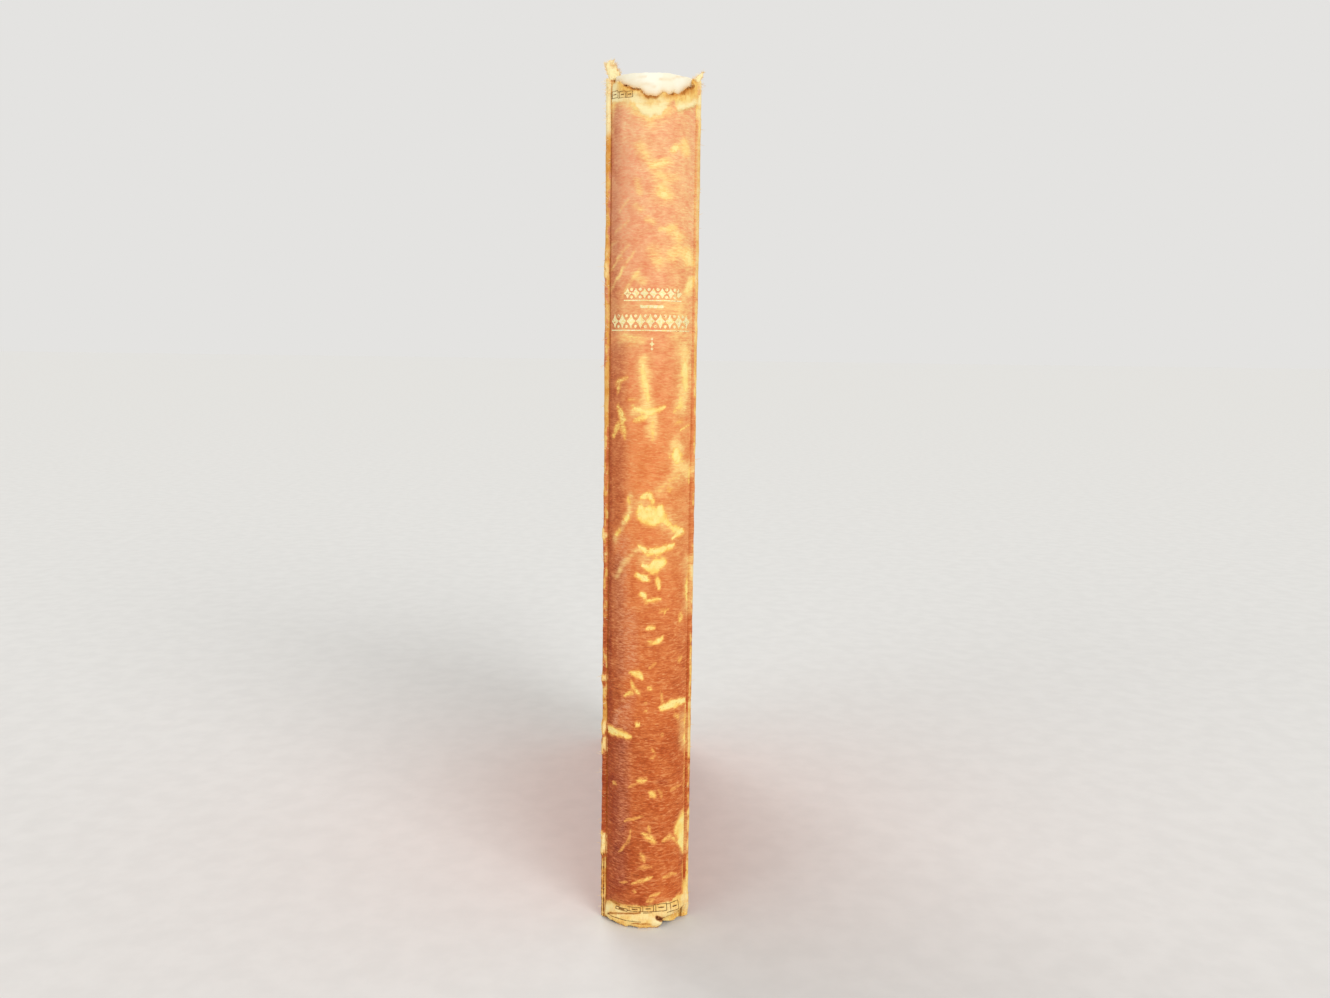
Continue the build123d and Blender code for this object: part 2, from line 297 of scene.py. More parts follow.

# Painted sheen with whitish bloom on the left of the spine, and painted shade, mostly beside the left joint
# where the spine turns from the light and under the torn head, in photo pixels
SHEEN_AND_BLOOM_STROKES = [
    (7.0, 0.45, [(625, 150), (622, 250)]),
    (7.0, 0.15, [(624, 440), (625, 490)]),
    (6.0, 0.5, [(622, 540), (621, 600), (624, 650), (624, 672)]),
    (6.0, 0.6, [(629, 615), (631, 660)]),
    (6.0, 0.5, [(628, 700), (624, 720), (623, 728)]),
    (6.0, 0.4, [(623, 745), (623, 800), (622, 840)]),
    (3.0, 0.9, [(615, 725), (618, 713), (628, 705)]),
    (6.0, 0.25, [(618, 850), (622, 880)]),
]
SHADES = [
    (5.0, 0.55, [(614, 110), (613, 330)]),
    (4.5, 1.0, [(609, 350), (609, 520)]),
    (4.0, 1.0, [(609, 530), (609, 720)]),
    (6.0, 0.85, [(611, 738), (611, 895)]),
    (7.0, 0.7, [(617, 350), (617, 520)]),
    (6.0, 0.65, [(617, 560), (616, 700)]),
    (10.0, 0.95, [(617, 740), (619, 890)]),
    (14.0, 0.35, [(630, 745), (640, 890)]),
    (4.0, 0.8, [(614, 896), (628, 902), (650, 902)]),
    (3.5, 0.5, [(684, 850), (684, 880)]),
    (3.5, 0.6, [(660, 782), (664, 782)]),
    (3.0, 0.8, [(668, 95), (678, 93), (690, 90)]),
    (2.0, 0.5, [(640, 94), (652, 97), (662, 95)]),
]

# How much tan shows along each joint: photo row, share
LEFT_JOINT_TAN = [
    (70, 1.0), (120, 0.9), (160, 0.62), (330, 0.6), (420, 0.45), (600, 0.36), (690, 0.34), (715, 0.75),
    (745, 0.75), (757, 0.1), (826, 0.05), (838, 0.9), (848, 0.9), (855, 0.5), (864, 0.85), (920, 0.95),
]
RIGHT_JOINT_TAN = [
    (70, 1.0), (330, 0.8), (450, 0.6), (620, 0.5), (700, 0.6), (860, 0.6), (885, 1.0), (930, 1.0),
]

# Photo rows between which the joints change: pale head and bare ends of the right one, toned middle of both,
# dark stitches at the left one's tail
PALE_HEAD_ROWS = (250, 420)
BARE_HEAD_ROWS = (112, 125)
BARE_TAIL_ROWS = (870, 890)
TONED_HEAD_ROWS = (118, 150)
TONED_TAIL_ROWS = (800, 850)
STITCHED_ROWS = (848, 856)

# Lumps of torn leather on the joints, in photo pixels: radius, strength and line
RIGHT_JOINT_LUMPS = [(4.5, 1.0, [(684, 896), (685, 904)])]
LEFT_JOINT_LUMPS = [
    (4.0, 1.0, [(606, 268), (606, 273)]),
    (3.0, 1.0, [(605, 531), (605, 535)]),
    (3.0, 1.0, [(603, 678), (606, 677)]),
    (4.0, 1.0, [(604, 726), (605, 729)]),
    (4.0, 1.0, [(604, 741), (605, 749)]),
    (5.0, 1.0, [(603, 838), (604, 848)]),
]

# Torn leather at both ends, in photo pixels: cracks, thinned and dark with painted shadow, and ridges that
# stand up
CRACKS = [
    (2.0, 1.0, [(674, 91), (679, 89.5)]),
    (1.8, 0.9, [(688, 86), (692, 86)]),
    (1.2, 0.8, [(624, 85), (631, 85)]),
    (1.3, 0.8, [(633, 88), (640, 88.5)]),
    (1.2, 0.6, [(641, 92), (646, 93)]),
    (1.0, 0.7, [(662, 91), (666, 91)]),
    (1.2, 0.8, [(668, 93), (673, 94)]),
    (1.0, 0.6, [(680, 93), (684, 94)]),
    (1.7, 1.0, [(657, 917.5), (665, 919.5), (671, 917.5), (677, 913.5)]),
    (0.9, 0.6, [(609, 912.5), (625, 913.5), (640, 913)]),
    (1.4, 0.6, [(611, 900), (619, 905)]),
    (1.0, 0.5, [(632, 923), (650, 924)]),
]
RIDGES = [
    (2.0, 1.0, [(666, 104), (679, 98)]),
    (2.4, 0.7, [(680, 109), (690, 106), (702, 102)]),
    (2.0, 0.7, [(613, 101), (630, 100)]),
    (2.5, 0.9, [(636, 107), (648, 113), (660, 111)]),
    (1.8, 0.8, [(646, 97), (662, 96)]),
    (1.6, 0.7, [(622, 90), (638, 94)]),
    (2.0, 0.8, [(604, 913), (616, 918), (630, 920)]),
    (2.2, 1.0, [(654, 921), (664, 921)]),
    (2.0, 0.7, [(634, 918), (652, 917)]),
    (2.0, 1.0, [(675, 909), (684, 905)]),
]

# The two sides of the book. The left joint is worn to a ridge beside a deep crease, and the right one lies
# flatter. A torn scrap has the left and right ends of its foot and crown: places across and heights in mm.
BACK = SimpleNamespace(
    name="back", cover="back_cover", sign=-1, cover_seed=71,
    joint_seed=51, bulge=0.62, crease=0.50, tan=LEFT_JOINT_TAN, lumps=LEFT_JOINT_LUMPS,
    # painted shade: the back joint turns away from the light, so it is shaded more than the front one
    bare=(0.2, 0.3), toning_and_shade=0.85, shade=0.75,
    scrap_seed=91, foot=[(-11.1, 219.1), (-7.6, 219.3)], crown=[(-12.1, 223.2), (-10.1, 224.0)],
    joint_fibres=260, joint_fibre_seed=101, scrap_fibres=170, scrap_fibre_seed=111,
)
FRONT = SimpleNamespace(
    name="front", cover="front_cover", sign=1, cover_seed=81,
    joint_seed=61, bulge=0.46, crease=0.06, tan=RIGHT_JOINT_TAN, lumps=RIGHT_JOINT_LUMPS,
    bare=(0.28, 0.42), toning_and_shade=0.4, shade=0.15,
    scrap_seed=95, foot=[(9.0, 219.3), (11.4, 219.2)], crown=[(11.0, 220.9), (12.2, 221.5)],
    joint_fibres=60, joint_fibre_seed=105, scrap_fibres=60, scrap_fibre_seed=115,
)


# Sizes from the imported solids

def node_box(node):
    """Lowest and highest corner of a solid."""
    low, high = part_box(node)
    return np.array(low) / MM, np.array(high) / MM


def node_points(node):
    """All points of a solid's mesh."""
    return np.array([vertex.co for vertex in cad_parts[node].data.vertices]) / MM


def outer_arc(node):
    """Outer radius, axis along Y and half sweep of a sheet that curves about the spine's upright axis."""
    points = node_points(node)
    end_x, end_y = points[points[:, 0].argmax()][:2]
    apex_y = points[:, 1].min()
    rise = end_y - apex_y
    radius = (end_x**2 + rise**2) / (2 * rise)
    return radius, apex_y + radius, asin(end_x / radius)


spine_radius, axis_y, spine_sweep = outer_arc("spine_leather")
card_radius, _, card_sweep = outer_arc("spine_inlay")
turn_in_radius, _, turn_in_sweep = outer_arc("head_turn_in")
lining_radius, _, lining_sweep = outer_arc("spine_lining")
card_low, card_high = node_box("spine_inlay")
cover_low, cover_high = node_box("front_cover_leather")
pages_low, pages_high = node_box("text_block")
head_z = card_high[2]
cover_outer_x = cover_high[0]
joint_y = cover_low[1]
cover_corner = np.array([cover_low[0], joint_y, 0.0])
cover_depth = cover_outer_x - cover_low[0]
cover_width = cover_high[1] - joint_y


# Points, noise and the photograph's frame

SEED_STEP = np.array([17.3, 7.1, 3.7])
STROKE_REACH = 1.8
STROKE_SLOPE = 0.75
SOFT_REACH = 1.4


def on_arc(radius, angle, height):
    """Points about the spine's axis. Angle 0 faces the viewer and positive angles are towards +X."""
    radius, angle, height = np.broadcast_arrays(radius, angle, height)
    return np.stack([radius * np.sin(angle), axis_y - radius * np.cos(angle), height], -1)


def ripple(points, size, seed):
    """Smooth noise from -1 to 1 whose features have a size in mm, given for each axis or for all."""
    scaled = points.reshape(-1, 3) / np.array(size) + seed * SEED_STEP
    return np.array([noise.noise(Vector(p)) for p in scaled]).reshape(points.shape[:-1])


def smooth_step(value, low, high):
    """Smooth change from 0 to 1 while the value goes from low to high."""
    share = np.clip((value - low) / (high - low), 0, 1)
    return share * share * (3 - 2 * share)


def camera_axes():
    """Right, up and forward directions of the camera."""
    yaw, pitch, roll = radians(CAMERA_YAW), radians(CAMERA_PITCH), radians(CAMERA_ROLL)
    forward = np.array([sin(yaw) * cos(pitch), cos(yaw) * cos(pitch), -sin(pitch)])
    level = np.array([cos(yaw), -sin(yaw), 0.0])
    upright = np.cross(level, forward)
    return cos(roll) * level + sin(roll) * upright, cos(roll) * upright - sin(roll) * level, forward


def photo_pixels(points):
    """Where points of the book lie in the photograph."""
    right, up, forward = camera_axes()
    away = points - CAMERA_PLACE
    scale = FOCAL_PIXELS / (away @ forward)
    return np.stack([PHOTO_WIDTH / 2 + scale * (away @ right), PHOTO_HEIGHT / 2 - scale * (away @ up)], -1)


def on_spine(column, row):
    """Angle and height on the spine's surface that a pixel of the photograph shows."""
    right, up, forward = camera_axes()
    ray = forward + right * (column - PHOTO_WIDTH / 2) / FOCAL_PIXELS
    ray = ray - up * (row - PHOTO_HEIGHT / 2) / FOCAL_PIXELS
    start = CAMERA_PLACE - np.array([0.0, axis_y, 0.0])
    a = ray[0] ** 2 + ray[1] ** 2
    b = ray[0] * start[0] + ray[1] * start[1]
    c = start[0] ** 2 + start[1] ** 2 - spine_radius**2
    reach = (-b - sqrt(b * b - a * c)) / a
    hit = start + reach * ray
    return asin(hit[0] / spine_radius), hit[2]


def line_distance(pixels, line, taper=0.0):
    """Distance of each pixel from a line of points, counted as longer where the line tapers to its ends."""
    points = np.array(line, float)
    runs = np.diff(points, axis=0)
    lengths = np.linalg.norm(runs, axis=1)
    passed = np.cumsum(lengths) - lengths
    nearest = np.full(pixels.shape[:-1], np.inf)
    for start, run, length, before in zip(points, runs, lengths, passed):
        share = np.clip(((pixels - start) @ run) / length**2, 0, 1)
        along = (before + share * length) / lengths.sum()
        width = 1 - taper * (2 * along - 1) ** 2
        gap = pixels - start - share[..., None] * run
        nearest = np.minimum(nearest, np.linalg.norm(gap, axis=-1) / width)
    return nearest


def stroke_field(pixels, strokes, spread=1.0, taper=0.0):
    """Strongest stroke at each pixel: whole near the line, none at the stroke's reach."""
    field = np.zeros(pixels.shape[:-1])
    for radius, strength, line in strokes:
        share = line_distance(pixels, line, taper) / (spread * radius)
        field = np.maximum(field, strength * np.clip(STROKE_SLOPE * (STROKE_REACH - share), 0, 1))
    return field


def soft_field(pixels, strokes):
    """Sum of soft strokes at each pixel, at most 1."""
    field = np.zeros(pixels.shape[:-1])
    for radius, strength, line in strokes:
        field = field + strength * np.exp(-((line_distance(pixels, line) / (SOFT_REACH * radius)) ** 2))
    return np.minimum(field, 1)


def across_line(line, place):
    """Height of an outline of (across, height) points at each place across."""
    across, height = np.array(line, float).T
    return np.interp(place, across, height)


# Meshes

EVEN_SHARE = 0.25
END_POWER = 2.2


def quads(index):
    """Faces of a grid of vertex numbers."""
    corners = np.stack([index[:-1, :-1], index[:-1, 1:], index[1:, 1:], index[1:, :-1]], -1)
    return corners.reshape(-1, 4).tolist()


def closed_sheet(outer, inner):
    """Points and faces of a closed sheet between two grids of points."""
    rows, columns = outer.shape[:2]
    index = np.arange(rows * columns).reshape(rows, columns)
    border = np.concatenate([index[0, :-1], index[:-1, -1], index[-1, :0:-1], index[:0:-1, 0]])
    back = border + index.size
    rim = np.stack([border, back, np.roll(back, -1), np.roll(border, -1)], -1)
    faces = quads(index) + quads(index[:, ::-1] + index.size) + rim.tolist()
    return np.concatenate([outer.reshape(-1, 3), inner.reshape(-1, 3)]), faces


def turn_outward(mesh, weld=0.0):
    """Turns all faces of a mesh outward, once points that lie closer together than the weld are joined."""
    edit = bmesh.new()
    edit.from_mesh(mesh)
    if weld:
        bmesh.ops.remove_doubles(edit, verts=edit.verts, dist=weld)
    bmesh.ops.recalc_face_normals(edit, faces=edit.faces)
    edit.to_mesh(mesh)
    edit.free()


def add_piece(name, points, faces, material, body, replaces=(), fields=None, sharp=50):
    """Makes a mesh piece that rides on a body. Fields are values for each point, for the material to read."""
    mesh = bpy.data.meshes.new(name)
    mesh.from_pydata((np.asarray(points) * MM).tolist(), [], faces)
    for field, values in (fields or {}).items():
        attribute = mesh.attributes.new(field, "FLOAT", "POINT")
        attribute.data.foreach_set("value", np.asarray(values, np.float32).ravel())
    turn_outward(mesh)
    mesh.shade_smooth()
    mesh.set_sharp_from_angle(angle=radians(sharp))
    mesh.materials.append(material)
    piece = bpy.data.objects.new(name, mesh)
    bpy.context.scene.collection.objects.link(piece)
    if replaces:
        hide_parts(*replaces)
    if body:
        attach(piece, body)
    return piece


def graded(count):
    """Shares from 0 to 1 that lie closer together near both ends."""
    even = np.linspace(0, 1, count)
    ends = np.where(even < 0.5, 0.5 * (2 * even) ** END_POWER, 1 - 0.5 * (2 - 2 * even) ** END_POWER)
    return EVEN_SHARE * even + (1 - EVEN_SHARE) * ends


# Materials

# The photograph is over-exposed: share of its linear colours that each kind of leather has in plain light
HIDE_SHARE = np.array([0.90, 0.80, 0.82])
FADED_AND_TOP_LIT_SHARE = np.array([0.96, 0.90, 0.93])
RUBBED_SHARE = np.array([0.98, 0.90, 0.82])
TORN_SHARE = np.array([0.98, 0.92, 0.84])

LEATHER_FIELDS = ("scuff", "raw", "shade", "sheen_and_bloom", "rim", "fade", "glow")
COVER_CREASE = 0.3
PASTEDOWN_SHIFT = (0.37, 0.11, 0.23)


def tone(red, green, blue, share=1.0):
    """Linear colour from a display colour, or a share of it."""
    channels = np.array([red, green, blue]) / 255
    linear = np.where(channels <= 0.04045, channels / 12.92, ((channels + 0.055) / 1.055) ** 2.4)
    return (*(share * linear).tolist(), 1.0)


# Colours of sound, rubbed and torn leather for a colour in the photograph, and of faded leather with painted
# light from above
hide = partial(tone, share=HIDE_SHARE)
faded_hide = partial(tone, share=FADED_AND_TOP_LIT_SHARE)
rubbed = partial(tone, share=RUBBED_SHARE)
torn = partial(tone, share=TORN_SHARE)


class Paint:
    """A material, with short calls that add nodes and link them. Sizes are in mm."""

    def __init__(self, name):
        self.material = bpy.data.materials.new(name)
        self.material.use_nodes = True
        self.tree = self.material.node_tree
        self.shader = self.tree.nodes["Principled BSDF"]
        self.place = self.add("TexCoord").outputs["Object"]

    def add(self, kind, **settings):
        node = self.tree.nodes.new("ShaderNode" + kind)
        for key, value in settings.items():
            setattr(node, key, value)
        return node

    def put(self, socket, value):
        if isinstance(value, bpy.types.NodeSocket):
            self.tree.links.new(value, socket)
        else:
            socket.default_value = value

    def math(self, operation, *values):
        node = self.add("Math", operation=operation)
        for socket, value in zip(node.inputs, values):
            self.put(socket, value)
        return node.outputs[0]

    def times(self, first, second):
        return self.math("MULTIPLY", first, second)

    def plus(self, first, second):
        return self.math("ADD", first, second)

    def swing(self, value, amount):
        """Value from 0 to 1 made to swing about zero by an amount."""
        return self.times(self.math("SUBTRACT", value, 0.5), amount)

    def field(self, name):
        return self.add("Attribute", attribute_name=name).outputs["Fac"]

    def noise(self, size, detail=3.0, roughness=0.55, stretch=None, bend=0.0):
        """Noise with features of a size, drawn out along the axes where the stretch is small."""
        place = self.place
        if stretch:
            squeeze = self.add("Mapping")
            self.put(squeeze.inputs["Vector"], place)
            squeeze.inputs["Scale"].default_value = stretch
            place = squeeze.outputs[0]
        node = self.add("TexNoise")
        settings = {"Vector": place, "Scale": 1 / (size * MM), "Detail": detail, "Roughness": roughness,
                    "Distortion": bend}
        for key, value in settings.items():
            self.put(node.inputs[key], value)
        return node.outputs["Fac"]

    def cells(self, size):
        node = self.add("TexVoronoi", feature="F1")
        self.put(node.inputs["Vector"], self.place)
        node.inputs["Scale"].default_value = 1 / (size * MM)
        return node.outputs["Distance"]

    def ramp(self, value, low, high, start=0.0, end=1.0):
        """Smooth change from start to end while the value goes from low to high."""
        node = self.add("MapRange", interpolation_type="SMOOTHSTEP")
        for socket, setting in zip(node.inputs, (value, low, high, start, end)):
            self.put(socket, setting)
        return node.outputs[0]

    def mix(self, share, first, second, kind="MIX"):
        node = self.add("Mix", data_type="RGBA", blend_type=kind)
        for socket, value in ((0, share), (6, first), (7, second)):
            self.put(node.inputs[socket], value)
        return node.outputs[2]

    def wash(self, body, value, low, high, colour, most=1.0):
        """Lays a colour over the body: none of it where the value is low, the most where it is high."""
        return self.mix(self.ramp(value, low, high, 0.0, most), body, colour)

    def bump(self, height, depth, strength=1.0):
        node = self.add("Bump")
        node.inputs["Strength"].default_value = strength
        node.inputs["Distance"].default_value = depth * MM
        self.put(node.inputs["Height"], height)
        self.put(self.shader.inputs["Normal"], node.outputs[0])

    def finish(self, color, roughness, specular=0.5):
        self.put(self.shader.inputs["Base Color"], color)
        self.put(self.shader.inputs["Roughness"], roughness)
        self.shader.inputs["Specular IOR Level"].default_value = specular
        return self.material


def leather_paint(name, crease):
    """Brown calf that reads from the mesh how worn, torn and faded each place is, with painted light from
    above, painted shade, painted sheen with bloom, painted shadow on torn rims, and dark stitches.
    """
    paint = Paint(name)
    scuff, raw, shade, sheen_and_bloom, rim, fade, glow = [paint.field(field) for field in LEATHER_FIELDS]
    cloud = paint.noise(18, 3)
    mottle = paint.noise(3.2, 5, 0.6)
    grain = paint.noise(1.0, 4, 0.62)
    speck = paint.noise(0.5, 3, 0.6)
    hairs = paint.noise(2.6, 4, 0.62, stretch=(1, 1, 5), bend=0.5)
    fine_hairs = paint.noise(1.1, 3, 0.6, stretch=(1, 1, 4), bend=0.4)
    strands = paint.noise(1.0, 4, 0.65, stretch=(2.5, 2.5, 1))

    # sound leather, paler where it has faded, and on the spine towards its head also with painted light from
    # above
    body = paint.wash(hide(200, 96, 38), cloud, 0.3, 0.7, hide(216, 112, 48))
    body = paint.wash(body, mottle, 0.4, 0.7, hide(230, 138, 70), 0.6)
    body = paint.wash(body, mottle, 0.45, 0.25, hide(180, 76, 28), 0.5)
    body = paint.wash(body, hairs, 0.42, 0.28, hide(168, 74, 36), 0.5 * crease)
    handled_and_top_lit = paint.wash(faded_hide(228, 132, 68), mottle, 0.3, 0.7, faded_hide(243, 156, 90))
    body = paint.wash(body, fade, 0.0, 0.6, handled_and_top_lit)
    faded = paint.wash(faded_hide(240, 164, 116), mottle, 0.3, 0.7, faded_hide(251, 192, 142))
    faded = paint.wash(faded, cloud, 0.5, 0.7, faded_hide(252, 206, 146), 0.4)
    body = paint.wash(body, fade, 0.5, 1.0, faded)

    # painted shade, rubbed places with a painted highlight on the head's flap, light hairs, painted sheen
    # with bloom, and creases
    # the shade field darkens: painted shade on the spine, joints and scraps, and on the covers their own
    # darker tone
    shade = paint.times(shade, paint.ramp(mottle, 0.2, 0.6, 1.0, 0.75))
    body = paint.mix(shade, body, tone(188, 138, 132), "MULTIPLY")
    broken = paint.plus(paint.swing(mottle, 1.4), paint.swing(hairs, 1.6))
    glow = paint.ramp(paint.times(glow, paint.plus(broken, 1.0)), -0.05, 0.95)
    # rubbed places in soft yellow, and the painted highlight on the head's loose flap
    body = paint.mix(glow, body, rubbed(255, 222, 146))
    unshaded = paint.math("MULTIPLY_ADD", shade, -0.7, 1.0)
    light_hairs = paint.times(paint.ramp(hairs, 0.5, 0.68, 0, 0.5 * crease), unshaded)
    light_fines = paint.times(paint.ramp(fine_hairs, 0.55, 0.7, 0, 0.4 * crease), unshaded)
    body = paint.mix(light_hairs, body, hide(244, 172, 108), "LIGHTEN")
    body = paint.mix(light_fines, body, hide(246, 184, 124), "LIGHTEN")
    # painted sheen, with whitish bloom, on the spine's left
    sheen_and_bloom = paint.times(sheen_and_bloom, paint.ramp(fine_hairs, 0.38, 0.62, 0.1, 0.8))
    body = paint.mix(sheen_and_bloom, body, hide(230, 168, 126))
    creased = paint.plus(paint.ramp(fine_hairs, 0.3, 0.7, 0.2, 0.48), paint.ramp(hairs, 0.3, 0.7, 0.1, 0.22))
    body = paint.mix(0.75 * crease, body, creased, "OVERLAY")

    # scuffs with ragged edges, deeper in their middles
    jitter = paint.plus(paint.swing(grain, 1.1), paint.swing(fine_hairs, 1.6))
    jitter = paint.plus(paint.plus(jitter, paint.swing(speck, 0.6)), 1.0)
    ragged = paint.times(scuff, jitter)
    halo = paint.ramp(ragged, 0.08, 0.6, 0.0, 0.75)
    core = paint.ramp(ragged, 0.42, 0.78)
    body = paint.mix(halo, body, rubbed(244, 176, 98), "LIGHTEN")
    deep = paint.plus(paint.times(scuff, 0.8), paint.swing(mottle, 1.3))
    tan = paint.wash(rubbed(246, 186, 96), deep, 0.26, 0.62, rubbed(255, 224, 126))
    tan = paint.wash(tan, deep, 0.52, 0.92, rubbed(255, 246, 166))
    tan = paint.wash(tan, strands, 0.46, 0.3, rubbed(232, 176, 84), 0.4)
    # scuffs paler towards the head: fading, with painted light from above
    tan = paint.wash(tan, fade, 0.5, 0.9, tone(255, 234, 160), 0.8)
    body = paint.mix(core, body, tan)

    # torn leather, then painted shadow along its torn rims and cracks, and dark stitches
    raw = paint.plus(raw, paint.plus(paint.swing(mottle, 0.9), paint.swing(grain, 0.6)))
    raw = paint.ramp(raw, 0.3, 0.7)
    suede = paint.wash(torn(236, 178, 88), strands, 0.34, 0.6, torn(252, 212, 120))
    suede = paint.wash(suede, mottle, 0.46, 0.64, torn(255, 232, 150), 0.85)
    suede = paint.wash(suede, grain, 0.42, 0.28, torn(204, 132, 58), 0.45)
    suede = paint.mix(glow, suede, torn(255, 246, 196))
    # orange-brown where the shade field is: painted shade under the torn head and on the scraps, and the
    # joints' own toning
    suede = paint.mix(paint.times(shade, 0.9), suede, torn(206, 126, 46))
    body = paint.mix(raw, body, suede)
    # painted shadow on torn rims and in cracks, and dark stitches
    shadow_and_stitches = paint.times(rim, jitter)
    body = paint.wash(body, shadow_and_stitches, 0.12, 0.6, torn(182, 110, 40), 0.85)
    body = paint.wash(body, shadow_and_stitches, 0.55, 1.0, torn(92, 44, 14))

    worn = paint.math("MAXIMUM", core, raw)
    surface = paint.math("MULTIPLY_ADD", paint.cells(0.42), 0.3, hairs)
    surface = paint.math("MULTIPLY_ADD", worn, -0.3, surface)
    rough_hair = paint.times(raw, paint.times(strands, 1.6))
    paint.bump(paint.plus(surface, rough_hair), 0.11, 0.7)
    return paint.finish(body, paint.math("MULTIPLY_ADD", worn, 0.30, 0.52), 0.16)


def card_paint():
    """Cream card with faint fibres, stained and with painted shade towards the torn leather and along its
    folds.
    """
    paint = Paint("cream_card")
    cloud = paint.noise(5, 4)
    fibre = paint.noise(1.2, 4, 0.7, stretch=(1, 1, 5))
    body = paint.wash(tone(250, 243, 216), cloud, 0.3, 0.7, tone(255, 252, 234))
    body = paint.wash(body, fibre, 0.62, 0.78, tone(214, 198, 160), 0.35)
    # stain and painted shade towards the torn leather and along the folds
    stained_and_shaded = paint.times(paint.field("stain_and_shade"), paint.ramp(cloud, 0.25, 0.65, 0.3, 1.0))
    body = paint.mix(stained_and_shaded, body, torn(232, 190, 112))
    paint.bump(fibre, 0.08, 0.6)
    return paint.finish(body, 0.85, 0.3)


def paper_paint(name, shift):
    """Aged paper with faint clouds, a few brown spots and toned margins."""
    paint = Paint(name)
    moved = paint.add("VectorMath", operation="ADD")
    paint.put(moved.inputs[0], paint.place)
    moved.inputs[1].default_value = shift
    span = paint.add("SeparateXYZ")
    paint.put(span.inputs[0], paint.add("TexCoord").outputs["Generated"])
    paint.place = moved.outputs[0]
    cloud = paint.noise(38, 4)
    grain = paint.noise(0.5, 4, 0.6)
    body = paint.wash(tone(234, 219, 182), cloud, 0.3, 0.72, tone(220, 200, 156))
    spots = paint.ramp(paint.cells(17), 0.12, 0.02)
    spots = paint.times(spots, paint.ramp(paint.noise(2.4, 4), 0.42, 0.62, 0, 0.6))
    body = paint.mix(spots, body, tone(172, 124, 72))
    margin = paint.math("MINIMUM", *[paint.math("PINGPONG", span.outputs[axis], 0.5) for axis in ("Y", "Z")])
    uneven = paint.plus(paint.swing(cloud, 0.12), margin)
    body = paint.wash(body, uneven, 0.12, -0.02, tone(196, 164, 112), 0.7)
    body = paint.wash(body, grain, 0.6, 0.85, tone(196, 172, 126), 0.25)
    paint.bump(grain, 0.05, 0.5)
    return paint.finish(body, 0.9, 0.25)


def leaf_edge_paint():
    """Cut edges of the leaves: each leaf has its own tone, and dust has settled in."""
    paint = Paint("leaf_edges")
    streak = paint.noise(2.0, 3, 0.6, stretch=(9, 1, 1))
    body = paint.mix(paint.field("leaf"), tone(206, 184, 136), tone(240, 226, 188))
    body = paint.wash(body, paint.noise(12, 4), 0.45, 0.75, tone(190, 156, 102), 0.5)
    body = paint.wash(body, streak, 0.58, 0.8, tone(158, 122, 76), 0.4)
    paint.bump(streak, 0.05, 0.6)
    return paint.finish(body, 0.88, 0.25)


def thread_paint():
    """Thread of the bands: two colours that take turns, faded and dusty."""
    paint = Paint("band_thread")
    twist = paint.noise(0.35, 3, 0.6)
    body = paint.mix(paint.field("turn"), tone(222, 204, 160), tone(142, 62, 44))
    body = paint.wash(body, twist, 0.4, 0.7, tone(236, 222, 184), 0.4)
    body = paint.wash(body, paint.noise(3, 4), 0.45, 0.75, tone(150, 126, 92), 0.5)
    paint.bump(twist, 0.06, 0.7)
    return paint.finish(body, 0.8, 0.3)


def lining_paint():
    """Paper and open cloth glued on the back."""
    paint = Paint("glued_lining")
    weave = paint.noise(0.5, 2, 0.5, stretch=(1, 1, 3))
    body = paint.wash(tone(190, 160, 112), paint.noise(7, 4), 0.3, 0.7, tone(214, 188, 142))
    body = paint.wash(body, weave, 0.5, 0.7, tone(150, 112, 68), 0.4)
    paint.bump(weave, 0.08, 0.7)
    return paint.finish(body, 0.88, 0.25)


def board_paint():
    """Grey-brown pulp board with flecks."""
    paint = Paint("pulp_board")
    fleck = paint.noise(0.9, 5, 0.7)
    body = paint.wash(tone(142, 122, 96), fleck, 0.35, 0.65, tone(184, 166, 136))
    paint.bump(fleck, 0.08, 0.6)
    return paint.finish(body, 0.9, 0.25)


def gilt_paint():
    """Gold leaf, rubbed through to the leather in places."""
    paint = Paint("rubbed_gilt")
    rub = paint.noise(0.9, 4, 0.65)
    gone = paint.ramp(rub, 0.57, 0.68)
    gold = paint.wash(tone(250, 224, 138), paint.noise(0.4, 2), 0.3, 0.7, tone(254, 246, 200))
    paint.put(paint.shader.inputs["Metallic"], paint.ramp(gone, 0, 1, 0.25, 0.0))
    paint.bump(rub, 0.04, 0.5)
    return paint.finish(paint.mix(gone, gold, hide(222, 140, 84)), paint.ramp(gone, 0, 1, 0.36, 0.55))


def tooling_paint():
    """Dark lines of a tooled roll, partly worn away: blackening, with painted shadow in the tooled
    impressions.
    """
    paint = Paint("dark_tooling_and_shadow")
    rub = paint.noise(0.8, 4, 0.65)
    body = paint.wash(torn(110, 68, 24), rub, 0.5, 0.66, torn(204, 146, 70))
    paint.bump(rub, 0.04, 0.5)
    return paint.finish(body, 0.7, 0.3)


def fibre_paint():
    """Loose fibres of torn leather."""
    paint = Paint("leather_fibre")
    body = paint.wash(torn(240, 202, 134), paint.noise(2.0, 3), 0.35, 0.65, torn(255, 246, 214))
    return paint.finish(body, 0.85, 0.3)


